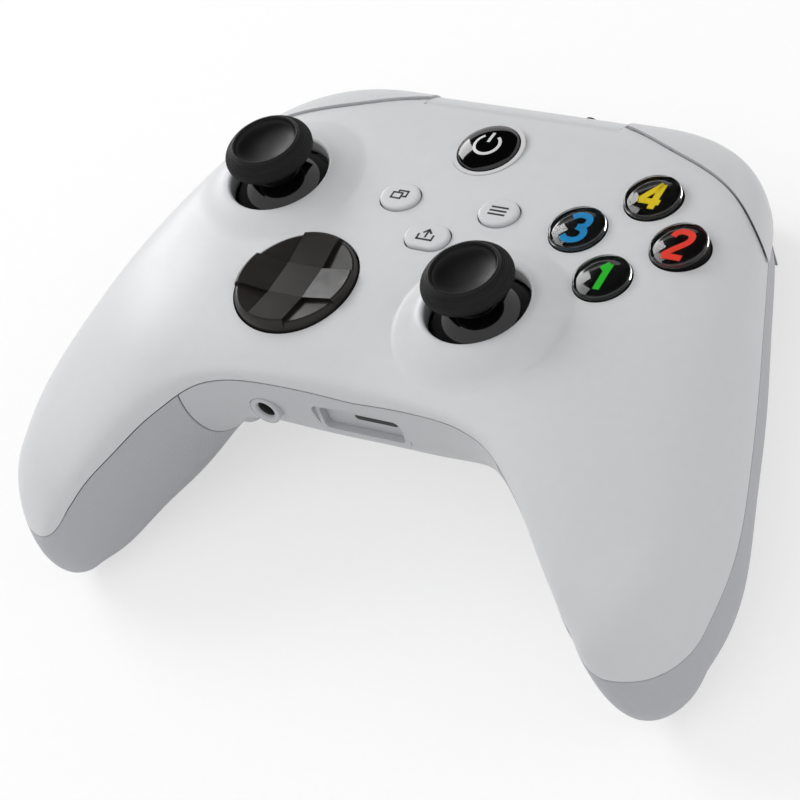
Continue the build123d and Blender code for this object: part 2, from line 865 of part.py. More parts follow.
with BuildPart() as right_trigger_frame:
    with BuildSketch(face.offset(frame_low_z)):
        with Locations(((inner_ear_x + half_width) / 2, frame_back_y - frame_thickness / 2)):
            Rectangle(half_width - inner_ear_x, frame_thickness)
    extrude(amount=frame_top_z - frame_low_z)
    for x in (inner_ear_x, outer_ear_x):
        with BuildSketch(side_plane(x)):
            with Locations(((frame_back_y + ear_reach) / 2, (frame_top_z + ear_low_z) / 2)):
                Rectangle(ear_reach - frame_back_y, frame_top_z - ear_low_z)
        extrude(amount=ear_thickness)
    add(liner.part, mode=Mode.INTERSECT)
    with BuildSketch(pivot_plane(inner_ear_x)):
        Circle(pin_radius)
    extrude(amount=pin_length, mode=Mode.SUBTRACT)
finish("right_trigger_frame", right_trigger_frame)

with BuildPart() as right_trigger_pin:
    with BuildSketch(pivot_plane(inner_ear_x)):
        Circle(pin_radius)
    extrude(amount=pin_length)
finish("right_trigger_pin", right_trigger_pin)

with BuildPart() as right_trigger_spring:
    with BuildLine() as coil:
        Helix(
            spring_pitch, spring_turns * spring_pitch, spring_radius,
            center=on_face(spring_x, trigger_pivot_y, trigger_pivot_z), direction=face.x_dir,
        )
    with BuildSketch(Plane(origin=coil.line @ 0, z_dir=coil.line % 0)):
        Circle(spring_wire)
    sweep(is_frenet=True)
finish("right_trigger_spring", right_trigger_spring)

for name, piece in (
    ("left_trigger", right_trigger), ("left_trigger_frame", right_trigger_frame),
    ("left_trigger_pin", right_trigger_pin), ("left_trigger_spring", right_trigger_spring),
):
    with BuildPart() as left_piece:
        mirror(piece.part, about=Plane.YZ)
    finish(name, left_piece)

with BuildPart() as bumper_switches:
    for side in (left, right):
        with BuildSketch(face.offset(frame_top_z)):
            with Locations((side * switch_x, frame_back_y - switch_width / 2)):
                Rectangle(switch_length, switch_width)
        extrude(amount=switch_height)
        middle = on_face(side * switch_x, frame_back_y, frame_top_z + switch_height / 2)
        with BuildSketch(Plane(origin=middle, x_dir=face.x_dir, z_dir=face.y_dir)):
            Circle(switch_button_radius)
        extrude(amount=switch_button_length)
finish("bumper_switches", bumper_switches)

# Thumbsticks: a fixed module, two crossed yokes, a lever, and the dome and cap that the thumb moves
for name, x, y, rise in stick_places:
    pivot = rise - pivot_depth
    seat = Plane(origin=on_face(x, y, pivot), x_dir=face.x_dir, z_dir=face.z_dir)
    turned = Plane(origin=seat.origin, x_dir=face.x_dir, z_dir=-face.y_dir)
    across = Plane(origin=seat.origin, x_dir=face.y_dir, z_dir=face.x_dir)
    axis = Axis(seat.origin, face.z_dir)
    module_low = board_top - pivot

    with BuildPart() as module:
        with BuildSketch(seat.offset(module_low)):
            Rectangle(module_side, module_side)
        extrude(amount=module_top - module_low)
        with BuildSketch(seat.offset(module_low + module_wall)):
            Rectangle(module_side - 2 * module_wall, module_side - 2 * module_wall)
        extrude(amount=module_top - module_low - 2 * module_wall, mode=Mode.SUBTRACT)
        with BuildSketch(seat):
            Circle(module_mouth_radius)
        extrude(amount=module_top, mode=Mode.SUBTRACT)
        with BuildSketch(across):
            Circle(yoke_pin_radius + slip)
        extrude(amount=module_side, both=True, mode=Mode.SUBTRACT)
        with BuildSketch(seat.offset(module_low)):
            with Locations(((module_side + pot_depth) / 2, 0)):
                Rectangle(pot_depth, pot_length)
            with Locations((0, -(module_side + pot_depth) / 2)):
                Rectangle(pot_length, pot_depth)
        extrude(amount=pot_height)
    finish(f"{name}_stick_module", module)

    with BuildPart() as outer_yoke:
        with BuildSketch(across.offset(-module_side / 2)):
            Circle(yoke_pin_radius)
        extrude(amount=module_side)
        with BuildSketch(seat.offset(-yoke_height / 2)):
            Rectangle(yoke_length, yoke_width)
        extrude(amount=yoke_height)
        with BuildSketch(seat.offset(-yoke_height / 2)):
            Rectangle(yoke_slot_length, yoke_slot_width)
        extrude(amount=yoke_height, mode=Mode.SUBTRACT)
        with BuildSketch(turned):
            Circle(hub_pin_radius + slip)
        extrude(amount=yoke_width, both=True, mode=Mode.SUBTRACT)
    finish(f"{name}_stick_outer_yoke", outer_yoke)

    with BuildPart() as inner_yoke:
        with BuildSketch(turned.offset(-yoke_width / 2)):
            Circle(hub_pin_radius)
        extrude(amount=yoke_width)
        with BuildSketch(seat.offset(-hub_height / 2)):
            Rectangle(hub_length, hub_width)
        extrude(amount=hub_height)
        with BuildSketch(seat.offset(-hub_height / 2)):
            Circle(spigot_radius + slip)
        extrude(amount=hub_height, mode=Mode.SUBTRACT)
    finish(f"{name}_stick_inner_yoke", inner_yoke)

    with BuildPart() as lever:
        with BuildSketch(seat.offset(-spigot_length)):
            Circle(spigot_radius)
        extrude(amount=spigot_length + hub_height / 2 + press_room)
        with BuildSketch(seat.offset(hub_height / 2 + press_room)):
            Circle(lever_radius)
        extrude(amount=pivot_depth + lever_top - hub_height / 2 - press_room)
    finish(f"{name}_stick_lever", lever)

    spread = radians(dome_spread_angle)
    inside = dome_radius - dome_wall
    with BuildPart() as dome:
        with BuildSketch(turned):
            with BuildLine():
                CenterArc((0, 0), dome_radius, 90 - dome_spread_angle, dome_spread_angle)
                CenterArc((0, 0), inside, 90 - dome_spread_angle, dome_spread_angle)
                Line((0, inside), (0, dome_radius))
                Line(
                    (inside * sin(spread), inside * cos(spread)),
                    (dome_radius * sin(spread), dome_radius * cos(spread)),
                )
            make_face()
        revolve(axis=axis)
        with BuildSketch(seat.offset(inside)):
            Circle(neck_radius)
        extrude(amount=pivot_depth + neck_top - inside)
        with BuildSketch(seat.offset(inside - dome_wall)):
            Circle(lever_radius + slip)
        extrude(amount=pivot_depth, mode=Mode.SUBTRACT)
    finish(f"{name}_stick_dome", dome)

    well = Plane(origin=on_face(x, y, rise), x_dir=face.x_dir, z_dir=-face.y_dir)
    with BuildPart() as cap:
        with BuildSketch(well):
            with BuildLine():
                Polyline(
                    (0, cap_height - cap_dish_depth), (0, neck_top), (neck_radius + cap_lip_width, neck_top),
                    (cap_radius - cap_lip_width, cap_edge_low),
                )
                Spline(
                    (cap_radius - cap_lip_width, cap_edge_low), (cap_radius, cap_side_low),
                    (cap_radius, cap_side_top), (cap_lip_radius + cap_lip_width, cap_height - cap_lip_width / 4),
                    (cap_lip_radius, cap_height),
                    tangents=((1, 1), (-1, 0)),
                )
                Spline(
                    (cap_lip_radius, cap_height), (cap_lip_radius - cap_lip_width, cap_height - cap_lip_width),
                    (0, cap_height - cap_dish_depth), tangents=((-1, 0), (-1, 0)),
                )
            make_face()
        revolve(axis=axis)
        with BuildSketch(face.offset(rise)):
            with Locations((x, y)):
                Circle(lever_radius + slip)
        extrude(amount=lever_top + slip, mode=Mode.SUBTRACT)
    finish(f"{name}_stick_cap", cap)

# Direction dish, modelled flat about its own centre and then set into the face
dish_place = Plane(origin=on_face(-lower_spread, -lower_drop, 0), x_dir=face.x_dir, z_dir=face.z_dir)
corner_slope = (dish_corner_rise - dish_corner_low) / dish_radius
with BuildPart() as dish_quarter:
    with BuildSketch(Plane.XY.offset(dish_floor)):
        Rectangle(dish_radius, dish_radius, align=(Align.MIN, Align.MIN))
    extrude(amount=dish_rim - dish_floor)
    diagonal = Plane(origin=(0, 0, dish_corner_low), z_dir=(-corner_slope, -corner_slope, 2 ** 0.5))
    split(bisect_by=diagonal, keep=Keep.BOTTOM)
    with BuildSketch(Plane.YZ.offset(-dish_arm_width / 2)):
        with BuildLine():
            Polyline(
                (0, dish_floor), (0, dish_centre_rise), (dish_arm_width / 2, dish_centre_rise),
                (dish_radius, dish_rim), (dish_radius, dish_floor), close=True,
            )
        make_face()
    extrude(amount=dish_arm_width)

with BuildPart() as flat_dish:
    with PolarLocations(0, 4):
        add(dish_quarter.part)
    with BuildSketch(Plane.XY.offset(dish_floor)):
        Circle(dish_radius)
    extrude(amount=dish_rim - dish_floor, mode=Mode.INTERSECT)
    with BuildSketch(Plane.XY.offset(dish_stem_low)):
        Circle(dish_stem_radius)
    extrude(amount=dish_floor - dish_stem_low)

placed_dish = dish_place * flat_dish.part
with BuildPart() as dpad_dish:
    add(placed_dish)
finish("dpad_dish", dpad_dish)

with BuildPart() as dpad_spring_plate:
    with BuildSketch(dish_place.offset(plate_top - plate_thickness)):
        Circle(plate_radius)
        Circle(plate_hole_radius, mode=Mode.SUBTRACT)
    extrude(amount=plate_thickness)
finish("dpad_spring_plate", dpad_spring_plate)

# Buttons of the face
for name, x, y in button_places:
    with BuildPart() as button:
        with BuildSketch(upright(x, y)):
            with BuildLine():
                low = stem_seat + button_travel + slip
                Polyline(
                    (0, button_rise), (0, low), (button_stem_radius, low),
                    (button_stem_radius, -flange_drop - flange_thickness),
                    (button_radius + button_flange, -flange_drop - flange_thickness),
                    (button_radius + button_flange, -flange_drop), (button_radius, -flange_drop),
                    (button_radius, button_rise - button_crown),
                )
                Spline(
                    (button_radius, button_rise - button_crown), (0, button_rise),
                    tangents=((-1, 1), (-1, 0)),
                )
            make_face()
        revolve(axis=face_axis(x, y))
    finish(f"{name}_face_button", button)

with BuildPart() as guide_button:
    with BuildSketch(upright(0, guide_back)):
        with BuildLine():
            low = stem_seat + guide_travel + slip
            Polyline(
                (0, guide_rise), (0, low), (centre_stem_radius, low),
                (centre_stem_radius, -flange_drop - flange_thickness),
                (guide_radius + button_flange, -flange_drop - flange_thickness),
                (guide_radius + button_flange, -flange_drop), (guide_radius, -flange_drop),
                (guide_radius, ring_top),
            )
            Spline((guide_radius, ring_top), (0, guide_rise), tangents=((-1, 1), (-1, 0)))
        make_face()
    revolve(axis=face_axis(0, guide_back))
finish("guide_button", guide_button)

with BuildPart() as guide_light_ring:
    with BuildSketch(face.offset(ring_low)):
        with Locations((0, guide_back)):
            Circle(guide_radius + button_gap + ring_width)
            Circle(guide_radius + button_gap, mode=Mode.SUBTRACT)
    extrude(amount=ring_top - ring_low)
finish("guide_light_ring", guide_light_ring)


def centre_button(x, y, long_side, short_side, slot):
    """A small oval key with a flange under the face and a stem down to its switch."""
    with BuildPart() as key:
        with BuildSketch(face.offset(-flange_drop)):
            with Locations((x, y)):
                if slot:
                    SlotOverall(long_side, short_side)
                else:
                    Ellipse(long_side / 2, short_side / 2)
        extrude(amount=flange_drop + menu_rise)
        fillet(key.edges().sort_by(Axis(face.origin, face.z_dir))[-1:], menu_round)
        with BuildSketch(face.offset(-flange_drop - flange_thickness)):
            with Locations((x, y)):
                Ellipse(long_side / 2 + button_flange, short_side / 2 + button_flange)
        extrude(amount=flange_thickness)
        with BuildSketch(face.offset(stem_seat + centre_travel + slip)):
            with Locations((x, y)):
                Circle(centre_stem_radius)
        extrude(amount=-flange_drop - flange_thickness - stem_seat - centre_travel - slip)
    return key


for name, x in menu_places:
    finish(f"{name}_button", centre_button(x, 0, menu_length, menu_width, False))
finish("share_button", centre_button(0, -share_drop, share_length, share_width, True))

# Main board with its rubber sheets and screws
with BuildPart() as main_board:
    outline = [(x * half_width, y * reach) for x, y in zip(board_x_shares, board_y_shares)]
    other = [(-x, y) for x, y in reversed(outline)]
    with BuildSketch(face.offset(board_low)):
        with BuildLine():
            Polyline(*outline, *other, close=True)
        make_face()
        with Locations(*board_posts):
            Circle(post_bore_radius, mode=Mode.SUBTRACT)
    extrude(amount=board_thickness)
finish("main_board", main_board)


def rubber_sheet(x, y, length, width, dimples):
    """A rubber sheet on the board with a dimple under each button."""
    with BuildPart() as sheet:
        with BuildSketch(face.offset(board_top)):
            with Locations((x, y)):
                RectangleRounded(length, width, sheet_corner)
        extrude(amount=sheet_thickness)
        with BuildSketch(face.offset(sheet_top)):
            with Locations(*dimples):
                Circle(dimple_radius)
        extrude(amount=dimple_height, taper=dimple_taper)
    return sheet


side_dimples = [(x, y) for name, x, y in button_places]
centre_dimples = [(0, guide_back), (0, -share_drop)] + [(x, 0) for name, x in menu_places]
finish("face_button_membrane", rubber_sheet(
    button_spread, -button_drop, side_sheet_length, side_sheet_width, side_dimples,
))
finish("centre_button_membrane", rubber_sheet(
    0, centre_sheet_y, centre_sheet_length, centre_sheet_width, centre_dimples,
))


def screw_group(places, seat_level, tip_level):
    """Screws driven up towards the face, their heads against seat_level."""
    with BuildPart() as group:
        for radius, low, high in (
            (screw_head_radius, seat_level - screw_head_height, seat_level), (screw_radius, seat_level, tip_level),
        ):
            with BuildSketch(face.offset(low)):
                with Locations(*places):
                    Circle(radius)
            extrude(amount=high - low)
    return group


finish("board_screws", screw_group(board_posts, board_low, board_screw_tip))
finish("case_screws", screw_group(case_posts, screw_seat, screw_tip))

# Sockets in the front wall
with BuildPart() as headphone_jack:
    with BuildSketch(Plane(origin=on_face(jack_x, jack_mouth_y, jack_z), x_dir=face.x_dir, z_dir=face.y_dir)):
        Circle(jack_radius)
        Circle(jack_bore_radius, mode=Mode.SUBTRACT)
    extrude(amount=jack_length)
finish("headphone_jack", headphone_jack)

with BuildPart() as expansion_port:
    mouth = Plane(origin=on_face(0, port_mouth_y, port_z), x_dir=-face.x_dir, z_dir=face.y_dir)
    with BuildSketch(mouth):
        RectangleRounded(port_length, port_height, port_corner)
    extrude(amount=port_depth)
    with BuildSketch(mouth):
        RectangleRounded(port_length - 2 * port_rim, port_height - 2 * port_rim, port_corner - port_rim / 2)
    extrude(amount=port_recess, mode=Mode.SUBTRACT)
    with BuildSketch(mouth):
        Rectangle(port_slot_length, port_slot_height)
    extrude(amount=port_depth - port_wall, mode=Mode.SUBTRACT)
finish("expansion_port", expansion_port)

# Rumble motors and their weights
for name, side in (("left", left), ("right", right)):
    with BuildPart() as motor:
        with BuildSketch(motor_planes[side].offset(-motor_length / 2)):
            Circle(motor_radius)
        extrude(amount=motor_length)
        with BuildSketch(motor_planes[side].offset(motor_length / 2)):
            Circle(motor_cap_radius)
        extrude(amount=motor_cap_length)
        with BuildSketch(motor_planes[side].offset(motor_length / 2)):
            Circle(motor_shaft_radius)
        extrude(amount=weight_gap + weight_thickness)
    finish(f"{name}_rumble_motor", motor)
    with BuildPart() as weight:
        with BuildSketch(weight_plane(side)):
            Circle(weight_radius)
            with Locations((0, weight_radius)):
                Rectangle(2 * weight_radius, 2 * weight_radius, mode=Mode.SUBTRACT)
            Circle(weight_hub_radius)
            Circle(motor_shaft_radius + pin_slip, mode=Mode.SUBTRACT)
        extrude(amount=weight_thickness)
    finish(f"{name}_rumble_weight", weight)
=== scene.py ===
import math

import bmesh
import bpy
import numpy as np
from mathutils import Matrix, Vector
from mathutils.bvhtree import BVHTree
from mathutils.interpolate import poly_3d_calc
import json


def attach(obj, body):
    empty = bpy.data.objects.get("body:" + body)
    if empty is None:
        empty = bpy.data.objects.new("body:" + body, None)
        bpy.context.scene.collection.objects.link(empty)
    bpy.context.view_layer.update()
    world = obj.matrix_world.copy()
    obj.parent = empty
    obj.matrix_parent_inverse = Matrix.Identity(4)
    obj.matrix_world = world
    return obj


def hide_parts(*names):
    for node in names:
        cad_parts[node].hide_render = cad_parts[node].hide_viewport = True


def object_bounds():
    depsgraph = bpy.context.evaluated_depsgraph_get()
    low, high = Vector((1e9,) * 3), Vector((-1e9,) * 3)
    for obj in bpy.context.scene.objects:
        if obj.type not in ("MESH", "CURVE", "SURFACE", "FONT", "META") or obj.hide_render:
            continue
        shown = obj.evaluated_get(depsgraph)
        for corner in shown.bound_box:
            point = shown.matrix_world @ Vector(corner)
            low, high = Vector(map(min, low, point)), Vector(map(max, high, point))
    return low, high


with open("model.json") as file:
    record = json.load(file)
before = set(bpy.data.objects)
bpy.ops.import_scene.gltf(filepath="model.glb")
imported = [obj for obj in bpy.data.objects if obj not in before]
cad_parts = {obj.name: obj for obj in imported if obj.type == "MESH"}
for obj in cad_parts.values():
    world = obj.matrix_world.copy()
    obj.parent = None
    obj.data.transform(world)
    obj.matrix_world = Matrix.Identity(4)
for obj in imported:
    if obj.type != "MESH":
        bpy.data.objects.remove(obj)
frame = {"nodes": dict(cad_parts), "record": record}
cad_low, cad_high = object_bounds()
nodes = frame["nodes"]

# The face of the gamepad leans back by ten degrees. Sizes below are millimetres in its own directions:
# x to the right, y to the back edge, z out of the face.
MM = 0.001
TINY = 1e-9
LEAN = math.radians(10.0)
FACE = (
    Matrix.Translation((0.0, 11.8 * MM, 38.0 * MM))
    @ Matrix.Rotation(-LEAN, 4, "X")
    @ Matrix.Scale(MM, 4)
)
# Name, x and y of each stick's well, and the height that its rim is raised to
STICKS = (("left", -38.4, 0.0, 1.5), ("right", 20.3, -24.3, 3.4))
# Name, x, y, digit and the digit's colour
BUTTONS = (
    ("bottom", 38.4, -11.2, "1", (20, 205, 24)),
    ("right", 48.8, -0.8, "2", (252, 62, 38)),
    ("left", 28.0, -0.8, "3", (0, 150, 216)),
    ("top", 38.4, 9.6, "4", (246, 216, 4)),
)
DISH = (-20.3, -24.3)
GUIDE = (0.0, 15.75)
KEYS = (("view_button", -10.85, 0.0), ("menu_button", 10.85, 0.0), ("share_button", 0.0, -8.6))
JACK = (-20.0, -44.9, -13.5)
PORT = (0.0, -42.7, -14.6)


# Materials
def linear(colour):
    """Screen colour, 0 to 255, as the linear colour that the shader wants."""
    out = []
    for c in colour:
        c = c / 255.0
        out.append(c / 12.92 if c <= 0.04045 else ((c + 0.055) / 1.055) ** 2.4)
    return (*out, 1.0)


# How much a surface's shine and tone vary from place to place, and how many such patches a metre holds
SHINE_SPREAD, TONE_SPREAD = 0.1, 0.01
PATCHES_PER_METRE = 420.0
PATCH_LOW, PATCH_HIGH = 0.3, 0.7


def add_patches(tree, place, shader, colour, rough):
    """Makes a handled surface a little shinier in some places than in others, and a little uneven in tone."""
    patches = tree.nodes.new("ShaderNodeTexNoise")
    patches.inputs["Scale"].default_value = PATCHES_PER_METRE
    patches.inputs["Detail"].default_value = 3.0
    tree.links.new(place.outputs["Object"], patches.inputs["Vector"])
    shine = tree.nodes.new("ShaderNodeMapRange")
    shine.inputs["To Min"].default_value = rough * (1 - SHINE_SPREAD)
    shine.inputs["To Max"].default_value = rough * (1 + SHINE_SPREAD)
    share = tree.nodes.new("ShaderNodeMapRange")
    for span in (shine, share):
        span.inputs["From Min"].default_value = PATCH_LOW
        span.inputs["From Max"].default_value = PATCH_HIGH
        tree.links.new(patches.outputs["Fac"], span.inputs["Value"])
    tree.links.new(shine.outputs["Result"], shader.inputs["Roughness"])
    tone = tree.nodes.new("ShaderNodeMix")
    tone.data_type = "RGBA"
    plain = linear(colour)[:3]
    tone.inputs["A"].default_value = [(1 - TONE_SPREAD) * c for c in plain] + [1.0]
    tone.inputs["B"].default_value = [min((1 + TONE_SPREAD) * c, 1.0) for c in plain] + [1.0]
    tree.links.new(share.outputs["Result"], tone.inputs["Factor"])
    tree.links.new(tone.outputs["Result"], shader.inputs["Base Color"])


def add_grain(tree, place, shader, size, height, kind):
    """Fine relief: noise, or a pattern of dots; its cells' size and its height are metres."""
    if kind == "noise":
        texture = tree.nodes.new("ShaderNodeTexNoise")
        texture.inputs["Detail"].default_value = 2.0
        value = texture.outputs["Fac"]
    else:
        texture = tree.nodes.new("ShaderNodeTexVoronoi")
        texture.inputs["Randomness"].default_value = 0.35
        value = texture.outputs["Distance"]
    texture.inputs["Scale"].default_value = 1.0 / size
    tree.links.new(place.outputs["Object"], texture.inputs["Vector"])
    bump = tree.nodes.new("ShaderNodeBump")
    bump.inputs["Distance"].default_value = height
    bump.inputs["Strength"].default_value = 1.0
    tree.links.new(value, bump.inputs["Height"])
    tree.links.new(bump.outputs["Normal"], shader.inputs["Normal"])


def material(name, colour, rough, metal=0.0, clear=0.0, specular=0.5, grain=None):
    """A shader with patches of shine and tone; grain is what add_grain takes."""
    m = bpy.data.materials.new(name)
    m.use_nodes = True
    tree = m.node_tree
    shader = tree.nodes["Principled BSDF"]
    shader.inputs["Base Color"].default_value = linear(colour)
    shader.inputs["Roughness"].default_value = rough
    shader.inputs["Metallic"].default_value = metal
    shader.inputs["Specular IOR Level"].default_value = specular
    place = tree.nodes.new("ShaderNodeTexCoord")
    if clear:
        shader.inputs["Transmission Weight"].default_value = clear
        shader.inputs["IOR"].default_value = 1.45
    else:
        add_patches(tree, place, shader, colour, rough)
    if grain:
        add_grain(tree, place, shader, *grain)
    return m


# Colours are screen values, 0 to 255, and the number after a colour is its roughness
shell_white = material("shell_white", (203, 204, 206), 0.42, grain=(0.00035, 0.000004, "noise"))
shell_grey = material("shell_grey", (172, 173, 177), 0.52, grain=(0.0007, 0.00006, "dots"))
# A darker copy of the white shell, with the same roughness and grain, for the rear case, battery door,
# triggers and sockets: painted shade.
shell_white_shaded = material("shell_white_shaded", (186, 187, 190), 0.42, grain=(0.00035, 0.000004, "noise"))
bumper_grey = material("bumper_grey", (201, 202, 204), 0.36, grain=(0.00035, 0.000003, "noise"))
stick_black = material("stick_black", (15, 15, 15), 0.42, specular=0.2)
gloss_black = material("gloss_black", (7, 7, 8), 0.06, specular=0.5)
dish_dark = material("dish_dark", (29, 26, 24), 0.36, specular=0.3, grain=(0.0004, 0.000004, "noise"))
key_grey = material("key_grey", (203, 204, 206), 0.38)
light_ring = material("light_ring", (206, 206, 207), 0.3)
# The black of insides; the port's slot plate also wears it as painted shade of its opening.
inner_black = material("inner_black", (22, 22, 23), 0.5)
soft_rubber = material("soft_rubber", (120, 121, 124), 0.7)
board_green = material("board_green", (28, 74, 44), 0.45)
spring_steel = material("spring_steel", (176, 177, 179), 0.3, metal=1.0)
weight_brass = material("weight_brass", (196, 164, 96), 0.35, metal=1.0)
cell_jacket = material("cell_jacket", (172, 173, 176), 0.32, metal=1.0)
core_black = material("core_black", (8, 8, 9), 0.5, specular=0.1)
print_dark = material("print_dark", (34, 34, 36), 0.5)
print_light = material("print_light", (206, 207, 209), 0.45)
clear_cap = material("clear_cap", (255, 255, 255), 0.03, clear=1.0)

# The look of each material slot that the record names
LOOKS = {
    "shell_white": shell_white, "shell_grey": shell_grey, "bumper_grey": bumper_grey,
    "stick_black": stick_black, "gloss_black": gloss_black, "dish_dark": dish_dark,
    "key_grey": key_grey, "light_ring": light_ring, "inner_black": inner_black,
    "soft_rubber": soft_rubber, "board_green": board_green, "spring_steel": spring_steel,
    "weight_brass": weight_brass, "cell_jacket": cell_jacket,
}


# Making pieces
def new_object(name, data):
    """An object in the scene that holds a mesh, a lamp or a camera."""
    thing = bpy.data.objects.new(name, data)
    bpy.context.scene.collection.objects.link(thing)
    return thing


def add_piece(name, verts, faces, body, slot, look, smooth=True, sharp=None, place=FACE, replaced=()):
    """A mesh in the row frame that rides on a body and stands for the replaced CAD nodes."""
    data = bpy.data.meshes.new(name)
    data.from_pydata([place @ Vector(v) for v in verts], [], faces)
    data.validate()
    piece = new_object(name, data)
    data.materials.append(look)
    work = bmesh.new()
    work.from_mesh(data)
    bmesh.ops.recalc_face_normals(work, faces=work.faces)
    work.to_mesh(data)
    work.free()
    if smooth:
        data.shade_smooth()
        if sharp is not None:
            data.set_sharp_from_angle(angle=math.radians(sharp))
    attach(piece, body)
    if replaced:
        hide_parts(*replaced)
    return piece


def smooth_line(points, steps):
    """Points along a smooth curve through the given ones."""
    pts = [np.array(p, float) for p in points]
    pts = [2 * pts[0] - pts[1]] + pts + [2 * pts[-1] - pts[-2]]
    out = []
    for a, b, c, d in zip(pts, pts[1:], pts[2:], pts[3:]):
        for k in range(steps):
            t = k / steps
            out.append(0.5 * (2 * b + (c - a) * t + (2 * a - 5 * b + 4 * c - d) * t * t
                              + (3 * b - a - 3 * c + d) * t ** 3))
    out.append(pts[-2])
    return [tuple(p) for p in out]


def lathe(profile, x, y, count=128, ripple=None):
    """Vertices and faces of a turned shape; the profile is (radius, z) from one end to the other."""
    verts, faces, rings = [], [], []
    for row, (r, z) in enumerate(profile):
        if r < TINY:
            rings.append([len(verts)])
            verts.append((x, y, z))
            continue
        ring = []
        for k in range(count):
            turn = 2 * math.pi * k / count
            lift = ripple(row, k) if ripple else 0.0
            ring.append(len(verts))
            verts.append((x + (r + lift) * math.cos(turn), y + (r + lift) * math.sin(turn), z + lift))
        rings.append(ring)
    for a, b in zip(rings, rings[1:]):
        for k in range(count):
            n = (k + 1) % count
            quad = [a[k % len(a)], a[n % len(a)], b[n % len(b)], b[k % len(b)]]
            quad = list(dict.fromkeys(quad))
            if len(quad) > 2:
                faces.append(quad)
    return verts, faces


def prism(outline, low, high):
    """Vertices and faces of a flat outline given thickness."""
    count = len(outline)
    verts = [(x, y, low) for x, y in outline] + [(x, y, high) for x, y in outline]
    faces = [list(range(count))[::-1], list(range(count, 2 * count))]
    faces += [[k, (k + 1) % count, count + (k + 1) % count, count + k] for k in range(count)]
    return verts, faces


def join(*parts):
    """Several vertex and face lists as one."""
    verts, faces = [], []
    for v, f in parts:
        base = len(verts)
        verts += list(v)
        faces += [[base + i for i in face] for face in f]
    return verts, faces


# Smooth shading of the shell
REACH, DEPTH, TIP_LENGTH = 76.0, 50.0, 11.8
TIP_START = 30
TIP_TURNS = (37, 45, 54, 63, 73, 84)
# One row for each upright slice, from the middle of the body to the end of a grip. As shares of the
# reach: inner edge x, y and outer edge x, y. As shares of the depth: top, bottom, seam at the inner
# edge and seam at the outer edge. Then how square the slice is above and below its seam.
SLICE_SHARES = (
    (0.0, -0.566, 0.0, 0.44, 0.0, -0.66, -0.165, -0.205, 3.2, 2.8),
    (0.13, -0.573, 0.19, 0.438, 0.0, -0.655, -0.14, -0.2, 3.2, 2.8),
    (0.255, -0.588, 0.39, 0.43, 0.0, -0.64, -0.115, -0.195, 3.2, 2.6),
    (0.35, -0.607, 0.575, 0.39, 0.0, -0.64, -0.11, -0.2, 3.1, 2.4),
    (0.42, -0.632, 0.708, 0.275, 0.0, -0.685, -0.13, -0.215, 3.0, 2.3),
    (0.477, -0.67, 0.78, 0.105, -0.01, -0.77, -0.17, -0.25, 2.9, 2.2),
    (0.53, -0.716, 0.84, -0.07, -0.035, -0.85, -0.215, -0.305, 2.7, 2.2),
    (0.582, -0.77, 0.9, -0.26, -0.09, -0.905, -0.27, -0.385, 2.5, 2.1),
    (0.635, -0.827, 0.95, -0.445, -0.175, -0.955, -0.33, -0.47, 2.4, 2.1),
    (0.688, -0.883, 0.98, -0.635, -0.275, -0.985, -0.4, -0.56, 2.3, 2.0),
    (0.74, -0.932, 0.965, -0.81, -0.39, -0.95, -0.5, -0.64, 2.2, 2.0),
)
SLICE_POINTS = 96
ROWS_BETWEEN = 6


def slice_ring(shares):
    """Points round one upright slice of the body, in face millimetres."""
    in_x, in_y, out_x, out_y = (REACH * s for s in shares[:4])
    top, low, in_seam, out_seam = (DEPTH * s for s in shares[4:8])
    points = []
    for k in range(SLICE_POINTS):
        turn = 2 * math.pi * k / SLICE_POINTS
        c, s = math.cos(turn), math.sin(turn)
        power = 2 / (shares[8] if s >= 0 else shares[9])
        across = (1 - math.copysign(abs(c) ** power, c)) / 2
        seam = in_seam + (out_seam - in_seam) * across
        z = seam + ((top if s >= 0 else low) - seam) * abs(s) ** power
        points.append((in_x + (out_x - in_x) * across, in_y + (out_y - in_y) * across, z))
    return np.array(points)


def slice_centre(shares):
    """The middle of one slice."""
    in_x, in_y, out_x, out_y, top, low = shares[:6]
    return np.array(((in_x + out_x) * REACH, (in_y + out_y) * REACH, (top + low) * DEPTH)) / 2


def through(values, steps):
    """Rows of points joined by a smooth cubic curve, with extra rows between them."""
    count = len(values)
    flat = values.reshape(count, -1)
    gap = np.linalg.norm(np.diff(values.mean(axis=1), axis=0), axis=1)
    knots = np.concatenate(([0.0], np.cumsum(gap)))
    h = np.diff(knots)
    left_side = np.eye(count)
    right_side = np.zeros_like(flat)
    for k in range(1, count - 1):
        left_side[k, k - 1:k + 2] = h[k - 1], 2 * (h[k - 1] + h[k]), h[k]
        right_side[k] = 6 * ((flat[k + 1] - flat[k]) / h[k] - (flat[k] - flat[k - 1]) / h[k - 1])
    bend = np.linalg.solve(left_side, right_side)
    rows = []
    for k in range(count - 1):
        for t in np.arange(steps) / steps:
            a, b = 1 - t, t
            rows.append(a * flat[k] + b * flat[k + 1]
                        + ((a ** 3 - a) * bend[k] + (b ** 3 - b) * bend[k + 1]) * h[k] ** 2 / 6)
    rows.append(flat[-1])
    return np.array(rows).reshape(-1, values.shape[1], 3)


def body_surface():
    """The whole outer surface of the shell as a grid of points, one row for each slice."""
    rings = [slice_ring(shares) for shares in SLICE_SHARES]
    before, centre = (slice_centre(shares) for shares in SLICE_SHARES[-2:])
    way = (centre - before) / np.linalg.norm(centre - before)
    start = math.radians(TIP_START)
    for turn in TIP_TURNS:
        shrink = math.cos(math.radians(turn)) / math.cos(start)
        shift = (math.sin(math.radians(turn)) - math.sin(start)) * TIP_LENGTH
        rings.append(centre + (rings[len(SLICE_SHARES) - 1] - centre) * shrink + way * shift)
    mirrored = [ring * (-1, 1, 1) for ring in rings[:0:-1]]
    return through(np.array(mirrored + rings), ROWS_BETWEEN)


